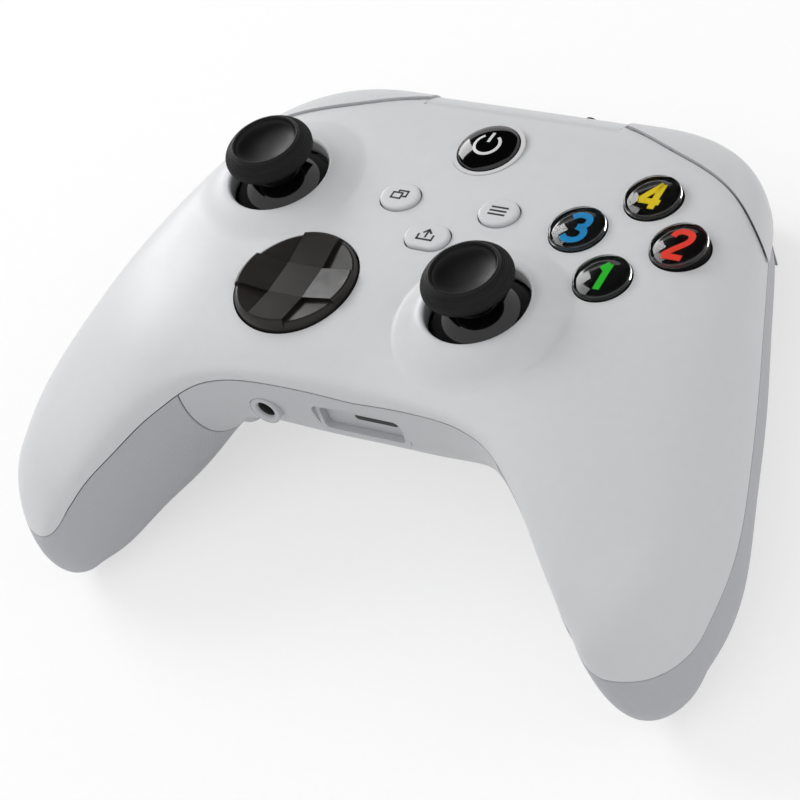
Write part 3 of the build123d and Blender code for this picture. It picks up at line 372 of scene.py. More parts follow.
def grid_normals(grid):
    """Outward normals of a closed-round grid of points."""
    along = np.gradient(grid, axis=0)
    round_way = np.roll(grid, -1, axis=1) - np.roll(grid, 1, axis=1)
    normals = np.cross(along, round_way)
    normals /= np.maximum(np.linalg.norm(normals, axis=2, keepdims=True), TINY)
    outward = grid - grid.mean(axis=1, keepdims=True)
    if (normals * outward).sum() < 0:
        normals = -normals
    return normals


def grid_triangles(rows, columns):
    """Triangles of a closed-round grid of points."""
    found = []
    for row in range(rows - 1):
        for column in range(columns):
            after = (column + 1) % columns
            a, b = row * columns + column, row * columns + after
            c, d = a + columns, b + columns
            found += [(a, b, d), (a, d, c)]
    return found


# The soft rise round a stick's well: its inner and outer radius, and how far past them it still counts
COLLAR_IN, COLLAR_OUT = 10.5, 17.4
COLLAR_EDGE = 0.1
# How far off the rise a place may lie and still take the rise's normal
ON_COLLAR = 0.25
# A place is lifted if it lies less than these depths under the rise and under the face. For the first,
# the rise counts as no higher than the limit. The well's rim itself stays as it is.
UNDER_RISE, UNDER_FACE, RISE_LIMIT, RIM_CLEAR = 2.0, 0.3, -0.1, 0.02
# Longest edges allowed round a well, halved step by step
EDGE_LIMITS = (16.0, 8.0, 4.0, 2.0, 1.0)
# Heights over the face: where dropped lines start, and below which no edge is refined
ABOVE_FACE = 30.0
BELOW_COLLARS = -6.0

to_face = FACE.inverted()
face_turn = FACE.to_3x3().normalized()
surface = body_surface()
points = [FACE @ Vector(p) for p in surface.reshape(-1, 3)]
surface_normals = grid_normals(surface).reshape(-1, 3) @ np.array(face_turn).T
triangles = grid_triangles(*surface.shape[:2])
surface_tree = BVHTree.FromPolygons(points, triangles)


def surface_normal(place):
    """The body's smooth normal nearest to a place, and how far that is."""
    spot, _, index, away = surface_tree.find_nearest(place)
    a, b, c = triangles[index]
    weights = poly_3d_calc((points[a], points[b], points[c]), spot)
    normal = sum((w * surface_normals[i] for w, i in zip(weights, (a, b, c))), np.zeros(3))
    return Vector(normal).normalized(), away


def drop(x, y):
    """Where a line straight down onto the face meets the body, or None."""
    return surface_tree.ray_cast(FACE @ Vector((x, y, ABOVE_FACE)), face_turn @ Vector((0, 0, -1)))[0]


def face_level(x, y):
    """Height of the plain face over a place on it."""
    spot = drop(x, y)
    return (to_face @ spot).z if spot else 0.0


def collar(x, y, stick):
    """Height of the soft rise round a stick's well, and the surface's normal there."""
    _, centre_x, centre_y, rise = stick
    spot = drop(x, y)
    if spot is None:
        return None
    height = (to_face @ spot).z
    slope = face_turn.transposed() @ surface_normal(spot)[0]
    away = Vector((x - centre_x, y - centre_y))
    t = min(max((COLLAR_OUT - away.length) / (COLLAR_OUT - COLLAR_IN), 0.0), 1.0)
    share, change = t * t * (3 - 2 * t), 6 * t * (1 - t) / (COLLAR_OUT - COLLAR_IN)
    ramp = -away.normalized() * change * (rise - height)
    gradient = Vector((-slope.x, -slope.y)) / slope.z * (1 - share) + ramp
    normal = face_turn @ Vector((-gradient.x, -gradient.y, 1.0))
    return height * (1 - share) + rise * share, normal.normalized()


def outside(place):
    """The smooth normal of the shell's outside nearest to a place, and how far that is."""
    spot = to_face @ place
    for stick in STICKS:
        away = math.hypot(spot.x - stick[1], spot.y - stick[2])
        if COLLAR_IN - COLLAR_EDGE < away < COLLAR_OUT + COLLAR_EDGE:
            found = collar(spot.x, spot.y, stick)
            if found and abs(found[0] - spot.z) < ON_COLLAR:
                return found[1], 0.0
    return surface_normal(place)


def raise_collars(work):
    """Refines a shell's mesh round the stick wells and blends their rims softly into the face."""
    for stick in STICKS:
        centre = Vector(stick[1:3])

        def is_long(edge, limit):
            """Whether an edge near the well is at least as long as the limit."""
            a, b = (to_face @ v.co for v in edge.verts)
            if max(a.z, b.z) < BELOW_COLLARS or (a - b).length < limit:
                return False
            a, b = a.xy - centre, b.xy - centre
            along = b - a
            t = min(max(-a.dot(along) / max(along.length_squared, TINY), 0.0), 1.0)
            return (a + along * t).length < COLLAR_OUT

        for limit in EDGE_LIMITS:
            for _ in range(2):
                long = [edge for edge in work.edges if is_long(edge, limit)]
                bmesh.ops.subdivide_edges(work, edges=long, cuts=1)
                bmesh.ops.triangulate(work, faces=[f for f in work.faces if len(f.verts) > 3])
        for vertex in work.verts:
            spot = to_face @ vertex.co
            if not COLLAR_IN + RIM_CLEAR < (spot.xy - centre).length < COLLAR_OUT:
                continue
            found = collar(spot.x, spot.y, stick)
            if not found or spot.z <= min(found[0], RISE_LIMIT) - UNDER_RISE:
                continue
            if spot.z > face_level(spot.x, spot.y) - UNDER_FACE:
                vertex.co = FACE @ Vector((spot.x, spot.y, found[0]))


# Points this close are one, in metres; an outer face's normal agrees this well with the body's
SAME_POINT = 0.000002
LIKE_BODY = 0.93
SHELL_CREASE, PART_CREASE = math.radians(30.0), math.radians(34.0)


def smooth_shell(node, name, reach, look):
    """A copy of a CAD shell piece whose outer faces are shaded by the body's smooth surface."""
    work = bmesh.new()
    work.from_mesh(nodes[node].data)
    bmesh.ops.remove_doubles(work, verts=work.verts, dist=SAME_POINT)
    if node == "front_case":
        raise_collars(work)
    data = bpy.data.meshes.new(name)
    work.to_mesh(data)
    work.free()
    data.materials.clear()
    data.materials.append(look)
    data.shade_smooth()
    data.set_sharp_from_angle(angle=SHELL_CREASE)
    found = {}
    normals = [Vector(n.vector) for n in data.corner_normals]
    for face in data.polygons:
        flat, away = outside(face.center)
        if away > reach * MM or flat.dot(face.normal) < LIKE_BODY:
            continue
        for corner in face.loop_indices:
            v = data.loops[corner].vertex_index
            if v not in found:
                found[v] = outside(data.vertices[v].co)[0]
            normals[corner] = found[v]
    data.normals_split_custom_set(normals)
    return new_object(name, data)


# CAD pieces that are shown as they are
slot_of = {entry["node"]: entry["material_slot"] for entry in frame["record"]["subparts"]}
for name, slot_name in slot_of.items():
    node = nodes[name]
    node.data.materials.clear()
    node.data.materials.append(LOOKS[slot_name])
    node.data.shade_smooth()
    weld = node.modifiers.new("weld", "WELD")
    weld.merge_threshold = SAME_POINT
    split = node.modifiers.new("split", "EDGE_SPLIT")
    split.split_angle = PART_CREASE
    even = node.modifiers.new("even", "WEIGHTED_NORMAL")
    even.keep_sharp = True

# The battery door, triggers and expansion port take the darker copy of the white shell: painted shade.
for name in ("battery_door", "left_trigger", "right_trigger", "expansion_port"):
    nodes[name].data.materials.clear()
    nodes[name].data.materials.append(shell_white_shaded)

# Pieces whose outside lies on the body's surface, how far off it they lie (mm), and what they ride on
SHELL_PIECES = (
    # The rear case takes the darker copy of the white shell: painted shade.
    ("front_case", 0.3, "shell", shell_white), ("rear_case", 0.3, "shell", shell_white_shaded),
    ("left_grip_cover", 0.6, "shell", shell_grey), ("right_grip_cover", 0.6, "shell", shell_grey),
    ("bumper_bridge", 0.3, "shell", bumper_grey), ("left_bumper", 0.9, "left_bumper", bumper_grey),
    ("right_bumper", 0.9, "right_bumper", bumper_grey),
)
for name, reach, body, look in SHELL_PIECES:
    piece = smooth_shell(name, f"{name}_shown", reach, look)
    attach(piece, body)
    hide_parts(name)

# Soft seams beside the bumpers
# Where the face ends beside the right bumper, from its inner end to its outer end
BUMPER_SEAM = (
    (22.04, 29.64), (28.12, 26.98), (34.96, 23.94), (43.32, 20.52), (50.54, 16.57), (57.53, 10.64),
)
# The seam's width; for the strip in it, how far it lies under the face, its thickness and its reach
# under the case
SEAM_GAP, SEAM_SINK, SEAM_DEPTH, UNDER_CASE = 0.45, 0.35, 0.2, 0.15
# The strip stays clear of the bumper, by more where the bumper swings further
SEAM_CLEAR, SEAM_SWING = 0.06, 0.37
# The patch between the bridge's end and the bumper: its low edge, its outer end, its thickness, and how
# far its first corner is moved out and back
BRIDGE_EDGE, PATCH_END, PATCH_DEPTH = 26.45, 26.0, 0.6
PATCH_OUT, PATCH_BACK = 0.03, 0.1


def surface_strip(low_line, high_line, sink, rows):
    """A strip between two lines of places, laid just under the body's surface."""
    verts = []
    for (ax, ay), (bx, by) in zip(low_line, high_line):
        for k in range(rows + 1):
            t = k / rows
            x, y = ax + (bx - ax) * t, ay + (by - ay) * t
            verts.append((x, y, face_level(x, y) - sink))
    across = rows + 1
    faces = [(i * across + k, i * across + k + 1, (i + 1) * across + k + 1, (i + 1) * across + k)
             for i in range(len(low_line) - 1) for k in range(rows)]
    return verts, faces


def thicken(piece, depth):
    """Gives a thin sheet a thickness, below its face."""
    piece.data.update()
    out_of_face = face_turn @ Vector((0, 0, 1))
    if sum(polygon.normal.dot(out_of_face) for polygon in piece.data.polygons) < 0:
        piece.data.flip_normals()
    solid = piece.modifiers.new("thick", "SOLIDIFY")
    solid.thickness = depth * MM
    solid.offset = -1.0


seam = smooth_line(BUMPER_SEAM, steps=8)
near, far = seam[0][0], seam[-1][0]
patch_start = (near - SEAM_GAP + PATCH_OUT, seam[0][1] + PATCH_BACK)
patch_line = [patch_start] + [p for p in seam if p[0] < PATCH_END]
for side, hand in (("left", -1), ("right", 1)):
    low_line = [(hand * x, y - SEAM_GAP - UNDER_CASE) for x, y in seam]
    high_line = [(hand * x, y - SEAM_CLEAR - SEAM_SWING * (x - near) / (far - near)) for x, y in seam]
    strip = surface_strip(low_line, high_line, SEAM_SINK, rows=2)
    thicken(add_piece(f"{side}_seam", *strip, "shell", "shell_white", shell_white), SEAM_DEPTH)
    low_line = [(hand * x, BRIDGE_EDGE) for x, _ in patch_line]
    high_line = [(hand * x, y - SEAM_GAP) for x, y in patch_line]
    patch = surface_strip(low_line, high_line, sink=0.0, rows=6)
    thicken(add_piece(f"{side}_corner", *patch, "shell", "shell_white", shell_white), PATCH_DEPTH)

# Thumbstick caps
# Half sections as (radius, height above the well's rim), from below, round the edge and into the dish
CAP_UNDER = ((4.4, 3.7), (6.4, 3.9), (7.6, 4.25))
CAP_SIDE = ((7.95, 4.4), (8.4, 4.95), (8.55, 5.7), (8.45, 6.5), (8.1, 7.15), (7.45, 7.85), (6.85, 8.35))
CAP_LIP = ((6.8, 8.38), (6.62, 8.62), (6.42, 8.7), (6.22, 8.6), (6.08, 8.3))
CAP_DISH = ((6.0, 8.0), (5.7, 7.72), (4.8, 7.36), (3.4, 7.06), (1.8, 6.9), (0.0, 6.85))
CAP_COUNT = 360
# The knurl: its height, how many points round and rows up one wave of it takes, and how many rows of
# the side stay plain below and above it
KNURL_HEIGHT, KNURL_POINTS, KNURL_ROWS = 0.15, 6, 9
KNURL_SKIP_LOW, KNURL_SKIP_HIGH = 4, 3
cap_under = smooth_line(CAP_UNDER, steps=3)
cap_side = smooth_line(CAP_SIDE, steps=10)
cap_line = cap_under + cap_side + smooth_line(CAP_LIP, steps=6) + smooth_line(CAP_DISH, steps=6)
knurl_first = len(cap_under) + KNURL_SKIP_LOW
knurl_last = len(cap_under) + len(cap_side) - KNURL_SKIP_HIGH


def knurl(row, k):
    """Fine raised lozenges round the cap's edge."""
    if not knurl_first <= row < knurl_last:
        return 0.0
    a = math.sin(2 * math.pi * (k / KNURL_POINTS + row / KNURL_ROWS))
    b = math.sin(2 * math.pi * (k / KNURL_POINTS - row / KNURL_ROWS))
    return KNURL_HEIGHT * max(a * b, 0.0)


for side, x, y, rise in STICKS:
    verts, faces = lathe([(r, z + rise) for r, z in cap_line], x, y, CAP_COUNT, knurl)
    add_piece(f"{side}_cap_shown", verts, faces, f"{side}_stick", "stick_black", stick_black,
              sharp=60, replaced=(f"{side}_stick_cap",))

# Direction dish
FACET_RADIUS = 11.15
ARM_HALF = 3.8
# Heights over the face: the middle and the arms' ends, the corners' inner and outer ends, the foot
CENTRE_RISE, ARM_RISE = 0.4, 1.6
CORNER_RISE, CORNER_END = -0.55, 0.75
DISH_FOOT = -3.4
ARM_STEPS, CORNER_STEPS = 14, 22
# The rounded side wall: how far out and how far down from a facet's rim
WALL_STEPS = ((0.32, 0.1), (0.62, 0.36), (0.82, 0.78), (0.9, 1.3))
EDGE_WIDTH, EDGE_STEPS, EDGE_ANGLE = 0.22, 3, math.radians(20.0)


def arm_height(x):
    """Height of an arm's top at a distance from the dish's centre."""
    share = (x - ARM_HALF) / (FACET_RADIUS - ARM_HALF)
    return CENTRE_RISE + (ARM_RISE - CENTRE_RISE) * share


def corner_height(x, y):
    """Height of a lower corner facet over a place on it."""
    inner = math.hypot(ARM_HALF, ARM_HALF)
    share = (math.hypot(x, y) - inner) / (FACET_RADIUS - inner)
    return CORNER_RISE + (CORNER_END - CORNER_RISE) * share


def wall_line(x, y, z):
    """Places down the rounded side wall under a place on a facet's rim."""
    line = [(x, y, z)]
    reach = math.hypot(x, y)
    for out, down in WALL_STEPS:
        grow = (reach + out) / reach
        line.append((x * grow, y * grow, z - down))
    line.append((line[-1][0], line[-1][1], DISH_FOOT))
    return line


def facet_rim(start, end, steps):
    """Places along the facets' round rim."""
    turns = [start + (end - start) * k / steps for k in range(steps + 1)]
    return [(FACET_RADIUS * math.cos(t), FACET_RADIUS * math.sin(t)) for t in turns]


def curtain(lines):
    """Faces between neighbouring wall lines."""
    depth = len(lines[0])
    verts = [v for line in lines for v in line]
    faces = [(a * depth + k, (a + 1) * depth + k, (a + 1) * depth + k + 1, a * depth + k + 1)
             for a in range(len(lines) - 1) for k in range(depth - 1)]
    return verts, faces


def dish_quarter():
    """One arm and one lower corner of the dish, with the walls beside and below them."""
    edge = math.asin(ARM_HALF / FACET_RADIUS)
    end_x = FACET_RADIUS * math.cos(edge)
    ends = [(x, y, arm_height(end_x)) for x, y in facet_rim(-edge, edge, ARM_STEPS)]
    top = [(ARM_HALF, -ARM_HALF, CENTRE_RISE)] + ends + [(ARM_HALF, ARM_HALF, CENTRE_RISE)]
    outer = [(x, y, corner_height(x, y)) for x, y in facet_rim(edge, math.pi / 2 - edge, CORNER_STEPS)]
    low = [(ARM_HALF, ARM_HALF, CORNER_RISE)] + outer
    parts = [
        (top, [range(len(top))]), curtain([wall_line(*p) for p in ends]),
        (low, [range(len(low))]), curtain([wall_line(*p) for p in outer]),
    ]
    for hand in (-1, 1):
        high = [(ARM_HALF, hand * ARM_HALF, CENTRE_RISE), (end_x, hand * ARM_HALF, arm_height(end_x))]
        under = [(ARM_HALF, hand * ARM_HALF, CORNER_RISE), (end_x, hand * ARM_HALF, CORNER_END)]
        parts.append((high + under[::-1], [range(4)]))
        parts.append(curtain([wall_line(*high[1]), wall_line(*under[1])]))
    return parts


def dish_facets():
    """The dish as flat facets: a square, four rising arms and four lower corners, with a round wall."""
    parts = []
    for quarter in range(4):
        for verts, faces in dish_quarter():
            for _ in range(quarter):
                verts = [(-y, x, z) for x, y, z in verts]
            parts.append((verts, faces))
    square = [(s * ARM_HALF, t * ARM_HALF, CENTRE_RISE) for s, t in ((1, 1), (-1, 1), (-1, -1), (1, -1))]
    parts.append((square, [range(4)]))
    verts, faces = join(*parts)
    return [(DISH[0] + x, DISH[1] + y, z) for x, y, z in verts], faces


verts, faces = dish_facets()
dish = add_piece("direction_dish", verts, faces, "dpad", "dish_dark", dish_dark, smooth=False,
                 replaced=("dpad_dish",))
weld = dish.modifiers.new("weld", "WELD")
weld.merge_threshold = 10 * SAME_POINT
edges = dish.modifiers.new("edges", "BEVEL")
edges.width = EDGE_WIDTH * MM
edges.segments = EDGE_STEPS
edges.limit_method = "ANGLE"
edges.angle_limit = EDGE_ANGLE
edges.harden_normals = True


# Prints and signs
def stroke(points, width):
    """Flat boxes along a line of points, one outline for each straight of it."""
    boxes = []
    for a, b in zip(points, points[1:]):
        a, b = Vector(a), Vector(b)
        along = (b - a).normalized()
        out = Vector((-along.y, along.x)) * width / 2
        ends = along * width / 2
        boxes.append([tuple(p) for p in (a - out - ends, b - out + ends, b + out + ends, a + out - ends)])
    return boxes


def arc(cx, cy, radius, start, end, steps=24):
    """Points round part of a circle, angles in degrees."""
    turns = [math.radians(start + (end - start) * k / steps) for k in range(steps + 1)]
    return [(cx + radius * math.cos(t), cy + radius * math.sin(t)) for t in turns]


def band(points, width):
    """The outline of one flat strip along a line of points: up its left side and back down its right."""
    left, right = [], []
    for k, p in enumerate(points):
        a = Vector(points[max(k - 1, 0)])
        b = Vector(points[min(k + 1, len(points) - 1)])
        out = Vector((-(b - a).y, (b - a).x)).normalized() * width / 2
        left.append(tuple(Vector(p) + out))
        right.append(tuple(Vector(p) - out))
    return left + right[::-1]


def band_faces(outline):
    """Faces across a band, one between each two neighbouring points of its line."""
    count = len(outline)
    return [[k, k + 1, count - 2 - k, count - 1 - k] for k in range(count // 2 - 1)]


def bent_band(outline, height, thick):
    """Vertices and faces of a thick band on a curved surface; height is a function of place."""
    count = len(outline)
    verts = [(x, y, height(x, y) - thick) for x, y in outline]
    verts += [(x, y, height(x, y)) for x, y in outline]
    quads = band_faces(outline)
    faces = [q[::-1] for q in quads] + [[count + i for i in q] for q in quads]
    faces += [[k, (k + 1) % count, count + (k + 1) % count, count + k] for k in range(count)]
    return verts, faces


# Face buttons
# Strokes of plain digits, drawn on a grid 4 wide and 6 tall
DIGITS = {
    "1": [[(1.0, 4.6), (2.2, 6.0), (2.2, 0.0)]],
    "2": [[(0.2, 4.6), (0.5, 5.4), (1.2, 5.9), (2.1, 6.0), (3.0, 5.8), (3.6, 5.2), (3.7, 4.4),
           (3.4, 3.6), (2.6, 2.7), (1.4, 1.5), (0.2, 0.0)], [(0.2, 0.0), (3.9, 0.0)]],
    "3": [[(0.2, 5.2), (1.0, 5.85), (2.0, 6.0), (3.0, 5.75),
           (3.5, 5.1), (3.5, 4.2), (3.0, 3.5), (1.9, 3.2)],
          [(1.9, 3.2), (3.1, 2.9), (3.75, 2.2), (3.75, 1.2),
           (3.2, 0.4), (2.1, 0.0), (1.0, 0.1), (0.1, 0.8)]],
    "4": [[(2.9, 0.0), (2.9, 6.0), (0.0, 1.7), (4.0, 1.7)]],
}
# The grid's height, the printed digits' height and the width of their strokes
DIGIT_TALL, DIGIT_SIZE, DIGIT_WIDTH = 6.0, 6.2, 1.32
# Where a digit's middle is on the grid, and where that of the 1 is
DIGIT_MIDDLE, ONE_MIDDLE = 2.0, 1.9


def digit_lines(text, x, y):
    """Lines of points along a digit's strokes: long strokes are smoothed, short ones split into straights."""
    middle = ONE_MIDDLE if text == "1" else DIGIT_MIDDLE
    grow = DIGIT_SIZE / DIGIT_TALL
    lines = []
    for stroke_line in DIGITS[text]:
        points = [(x + (px - middle) * grow, y + (py - DIGIT_TALL / 2) * grow) for px, py in stroke_line]
        if len(points) > 4:
            lines.append(smooth_line(points, steps=4))
        else:
            lines += [list(pair) for pair in zip(points, points[1:])]
    return lines


# Half sections as (radius, height): the opaque core with its flange, and the clear crown over it
BUTTON_CORE = ((0.0, -3.6), (6.1, -3.6), (6.1, -2.8), (5.38, -2.8), (5.38, 0.1), (5.2, 0.28), (0.0, 0.28))
CROWN_FOOT = ((0.0, 0.3), (5.1, 0.3), (5.4, 0.12), (5.4, 0.8))
CROWN_TOP = ((5.36, 0.98), (5.22, 1.12), (4.95, 1.2), (4.2, 1.28), (2.4, 1.42), (0.0, 1.5))
BUTTON_COUNT = 96
DIGIT_HEIGHT, DIGIT_DEPTH = 0.4, 0.06
for side, x, y, text, tint in BUTTONS:
    body = f"{side}_face_button"
    verts, faces = lathe(BUTTON_CORE, x, y, BUTTON_COUNT)
    add_piece(f"{side}_button_core", verts, faces, body, "gloss_black", core_black, sharp=40,
              replaced=(f"{side}_face_button",))
    verts, faces = lathe(list(CROWN_FOOT) + smooth_line(CROWN_TOP, steps=4), x, y, BUTTON_COUNT)
    add_piece(f"{side}_button_crown", verts, faces, body, "gloss_black", clear_cap, sharp=40)
    bands = [band(line, DIGIT_WIDTH) for line in digit_lines(text, x, y)]
    strips = [([(px, py, DIGIT_HEIGHT) for px, py in outline], band_faces(outline)) for outline in bands]
    verts, faces = join(*strips)
    look = material(f"digit_{text}", tint, 0.5)
    digit = add_piece(f"{side}_button_digit", verts, faces, body, "gloss_black", look, smooth=False)
    solid = digit.modifiers.new("thick", "SOLIDIFY")
    solid.thickness = DIGIT_DEPTH * MM

# Guide button
# Half section as (radius, height): the flange and the foot, then the dome
GUIDE_FOOT = ((0.0, -3.6), (6.8, -3.6), (6.8, -2.8), (6.05, -2.8))
GUIDE_DOME = ((6.05, 0.05), (5.9, 0.28), (5.2, 0.62), (3.8, 0.98), (2.0, 1.22), (0.0, 1.3))
# The sign: how far it lies over the dome, its stroke width, thickness and radius, and its bar's points
SIGN_LIFT, SIGN_WIDTH, SIGN_DEPTH, SIGN_RADIUS = 0.06, 0.62, 0.12, 2.55
BAR_START, BAR_STEP, BAR_POINTS = 0.5, 0.3, 10
verts, faces = lathe(list(GUIDE_FOOT) + smooth_line(GUIDE_DOME, steps=5), *GUIDE)
add_piece("guide_dome", verts, faces, "guide_button", "gloss_black", gloss_black, sharp=40,
          replaced=("guide_button",))


def guide_top(x, y):
    """Just above the guide button's dome, found between the points of its half section, middle first."""
    radii, heights = zip(*GUIDE_DOME[:0:-1])
    return float(np.interp(math.hypot(x - GUIDE[0], y - GUIDE[1]), radii, heights)) + SIGN_LIFT


ring = band(arc(*GUIDE, SIGN_RADIUS, start=125, end=415, steps=40), SIGN_WIDTH)
bar = band([(GUIDE[0], GUIDE[1] + BAR_START + BAR_STEP * k) for k in range(BAR_POINTS)], SIGN_WIDTH)
verts, faces = join(*[bent_band(outline, guide_top, SIGN_DEPTH) for outline in (ring, bar)])
add_piece("standby_sign", verts, faces, "guide_button", "light_ring", print_light, smooth=False)

# Small keys
KEY_TOP, PRINT_DEPTH = 0.93, 0.05
# The signs on the keys: name, stroke width, and lines of points counted from the key's middle
ICONS = (
    ("view_icon", 0.38, (
        ((-1.5, -0.9), (0.5, -0.9), (0.5, 0.5), (-1.5, 0.5), (-1.5, -0.9)),
        ((-0.5, 0.8), (-0.5, 1.1), (1.5, 1.1), (1.5, -0.3), (0.8, -0.3)),
    )),
    ("menu_icon", 0.42, (
        ((-1.6, -0.9), (1.6, -0.9)),
        ((-1.6, 0.0), (1.6, 0.0)),
        ((-1.6, 0.9), (1.6, 0.9)),
    )),
    ("share_icon", 0.42, (
        ((-1.6, -0.1), (-1.6, -1.2), (1.6, -1.2), (1.6, -0.1)),
        ((0.0, -0.5), (0.0, 1.2)),
        ((-0.75, 0.55), (0.0, 1.3), (0.75, 0.55)),
    )),
)
for (body, x, y), (name, width, lines) in zip(KEYS, ICONS):
    boxes = []
    for line in lines:
        boxes += stroke([(x + dx, y + dy) for dx, dy in line], width)
    verts, faces = join(*[prism(box, KEY_TOP - PRINT_DEPTH, KEY_TOP) for box in boxes])
    add_piece(name, verts, faces, body, "key_grey", print_dark, smooth=False)

# Headphone and expansion sockets
# Both look out of the front edge. Half sections as (radius, distance out of it): the ring and the bore
JACK_RING = ((3.2, -4.0), (3.2, -0.25), (3.05, 0.0), (2.7, 0.1), (2.2, 0.0), (1.9, -0.3))
JACK_MOUTH = (1.85, -1.2)
JACK_BORE = ((1.85, -0.7), (1.7, -0.9), (1.7, -8.5), (0.0, -8.5))
JACK_COUNT = 64
# Plates with round corners, as middle x, y, width, height, corner radius, back and front
PORT_PLATE = (0.0, 0.0, 17.5, 5.3, 0.8, -3.0, -1.5)
# The slot is a thin dark plate laid just over the port plate's face: painted shade of its opening.
PORT_SLOT_SHADE = (2.4, 0.5, 9.4, 1.7, 0.8, -1.6, -1.45)
CORNER_POINTS = 6
TOWARDS_FRONT = Matrix.Rotation(math.radians(90), 4, "X")
JACK_PLACE = FACE @ Matrix.Translation(JACK) @ TOWARDS_FRONT
PORT_PLACE = FACE @ Matrix.Translation(PORT) @ TOWARDS_FRONT


def rounded_plate(cx, cy, width, height, corner, low, high):
    """Vertices and faces of a flat plate with round corners."""
    outline = []
    for sx, sy, start in ((1, 1, 0), (-1, 1, 90), (-1, -1, 180), (1, -1, 270)):
        outline += arc(cx + sx * (width / 2 - corner), cy + sy * (height / 2 - corner), corner,
                       start, start + 90, CORNER_POINTS)
    return prism(outline, low, high)


# The jack's ring and the port's plate take the darker copy of the white shell: painted shade.
verts, faces = lathe(smooth_line(JACK_RING, steps=4) + [JACK_MOUTH], 0, 0, JACK_COUNT)
add_piece("jack_ring", verts, faces, "shell", "shell_grey", shell_white_shaded, place=JACK_PLACE, sharp=50,
          replaced=("headphone_jack",))
verts, faces = lathe(JACK_BORE, 0, 0, JACK_COUNT)
add_piece("jack_bore", verts, faces, "shell", "inner_black", inner_black, place=JACK_PLACE, sharp=50)
verts, faces = rounded_plate(*PORT_PLATE)
add_piece("port_plate", verts, faces, "shell", "shell_grey", shell_white_shaded, smooth=False, place=PORT_PLACE)
# A thin dark plate stands for the slot's opening: painted shade.
verts, faces = rounded_plate(*PORT_SLOT_SHADE)
add_piece("port_slot_shade", verts, faces, "shell", "inner_black", inner_black, smooth=False, place=PORT_PLACE)

# Floor, light and camera
WHITE = (1.0, 1.0, 1.0, 1.0)
BLACK = (0.0, 0.0, 0.0, 1.0)
# The floor's width, how far it lies under the part (metres), and how much of it glows where it is seen
FLOOR_WIDTH, FLOOR_DROP, FLOOR_GLOW = 6.0, 0.0002, 0.6
ROOM_LIGHT, BACKDROP_LIGHT = 0.58, 1.0
# The lamps and cards all point here
AIM = Vector((0.0, 0.0, 0.02))


def seen_by(tree, *kinds):
    """A shader value that is one for the named kinds of ray and zero for all others."""
    path = tree.nodes.new("ShaderNodeLightPath")
    value = path.outputs[kinds[0]]
    for kind in kinds[1:]:
        either = tree.nodes.new("ShaderNodeMath")
        either.operation = "MAXIMUM"
        tree.links.new(value, either.inputs[0])
        tree.links.new(path.outputs[kind], either.inputs[1])
        value = either.outputs["Value"]
    return value


def mix_shaders(tree, share, first, second, output):
    """Shows a mix of two shaders: the first where the share is zero, the second where it is one."""
    mix = tree.nodes.new("ShaderNodeMixShader")
    tree.links.new(share, mix.inputs["Fac"])
    tree.links.new(first, mix.inputs[1])
    tree.links.new(second, mix.inputs[2])
    tree.links.new(mix.outputs["Shader"], tree.nodes[output].inputs["Surface"])


def floor_material():
    """White ground whose look is partly a glow, for the camera and in reflections."""
    look = material("floor", (250, 250, 250), 0.9, specular=0.1)
    tree = look.node_tree
    glow = tree.nodes.new("ShaderNodeEmission")
    glow.inputs["Color"].default_value = WHITE
    glow.inputs["Strength"].default_value = 1.0
    share = tree.nodes.new("ShaderNodeMath")
    share.operation = "MULTIPLY"
    share.inputs[1].default_value = FLOOR_GLOW
    tree.links.new(seen_by(tree, "Is Camera Ray", "Is Glossy Ray"), share.inputs[0])
    plain = tree.nodes["Principled BSDF"].outputs["BSDF"]
    mix_shaders(tree, share.outputs["Value"], plain, glow.outputs["Emission"], "Material Output")
    return look


def studio_world():
    """Even light on the object, and plain white behind it for the camera, reflections and clear parts."""
    world = bpy.data.worlds.new("studio")
    world.use_nodes = True
    tree = world.node_tree
    room = tree.nodes["Background"]
    backdrop = tree.nodes.new("ShaderNodeBackground")
    for light, strength in ((room, ROOM_LIGHT), (backdrop, BACKDROP_LIGHT)):
        light.inputs["Color"].default_value = WHITE
        light.inputs["Strength"].default_value = strength
    seen = seen_by(tree, "Is Glossy Ray", "Is Transmission Ray", "Is Camera Ray")
    mix_shaders(tree, seen, room.outputs["Background"], backdrop.outputs["Background"], "World Output")
    return world


def rectangle(name, width, height, look):
    """A flat sheet, facing up until it is turned."""
    data = bpy.data.meshes.new(name)
    w, h = width / 2, height / 2
    data.from_pydata([(-w, -h, 0), (w, -h, 0), (w, h, 0), (-w, h, 0)], [], [(0, 1, 2, 3)])
    data.materials.append(look)
    return new_object(name, data)


def point(thing, place):
    """Puts a lamp or a card at a place and points it at AIM."""
    thing.location = place
    thing.rotation_euler = (AIM - Vector(place)).to_track_quat("-Z", "Y").to_euler()


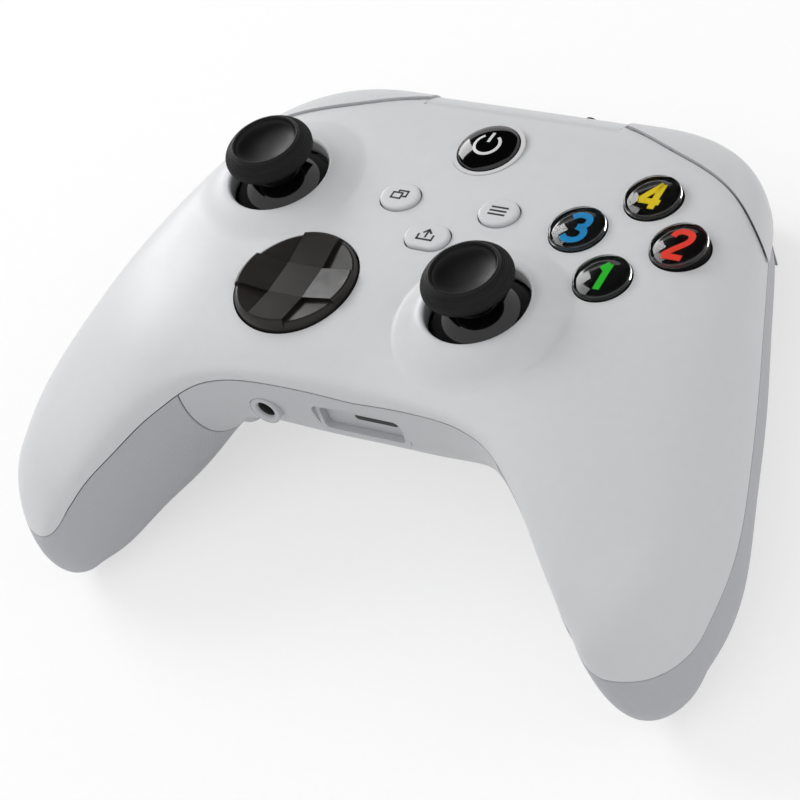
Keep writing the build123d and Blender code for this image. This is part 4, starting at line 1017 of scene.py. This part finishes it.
def card(name, place, width, height, strength):
    """A card that is seen only in glossy surfaces: dark, or glowing by a strength."""
    look = bpy.data.materials.new(name)
    look.use_nodes = True
    shader = look.node_tree.nodes["Principled BSDF"]
    shader.inputs["Base Color"].default_value = BLACK
    shader.inputs["Roughness"].default_value = 1.0
    shader.inputs["Specular IOR Level"].default_value = 0.0
    shader.inputs["Emission Color"].default_value = WHITE
    shader.inputs["Emission Strength"].default_value = strength
    piece = rectangle(name, width, height, look)
    point(piece, place)
    piece.visible_camera = False
    piece.visible_diffuse = False
    piece.visible_shadow = False


def softbox(name, place, width, power):
    """A square lamp."""
    lamp = bpy.data.lights.new(name, "AREA")
    lamp.shape = "RECTANGLE"
    lamp.size = width
    lamp.size_y = width
    lamp.energy = power
    box = new_object(name, lamp)
    point(box, place)
    box.visible_glossy = False


floor = rectangle("floor", FLOOR_WIDTH, FLOOR_WIDTH, floor_material())
floor.location.z = cad_low.z - FLOOR_DROP
bpy.context.scene.world = studio_world()
softbox("key_left", (-0.9, 0.2, 0.76), width=0.6, power=5.8)
softbox("overhead", (-0.1, -0.45, 1.1), width=0.8, power=2.2)
softbox("fill_right", (0.9, 0.2, 0.5), width=0.6, power=1.4)
# Flat black tops reflect the dark card; the window shows as a patch at their left edges.
card("dark_card", (-0.75, 0.95, 1.15), width=2.6, height=2.1, strength=0.0)
card("window", (-0.70, 0.45, 0.29), width=0.3, height=0.42, strength=7.0)

# The camera's place in metres and its own directions, fitted to the photograph
CAMERA_PLACE = (0.30045, -0.24221, 0.45285)
RIGHTWARD = Vector((0.83084, 0.41698, -0.36855))
DOWNWARD = Vector((0.17236, -0.82250, -0.54202))
FORWARD = Vector((-0.52914, 0.38681, -0.75523))
camera_data = bpy.data.cameras.new("camera")
camera_data.sensor_width = 36.0
camera_data.lens = 138.8
camera_data.clip_start = 0.02
camera = new_object("camera", camera_data)
turn = Matrix((RIGHTWARD, -DOWNWARD, -FORWARD)).transposed()
camera.matrix_world = Matrix.Translation(CAMERA_PLACE) @ turn.to_4x4()
bpy.context.scene.camera = camera

bpy.context.scene.view_settings.view_transform = "Standard"
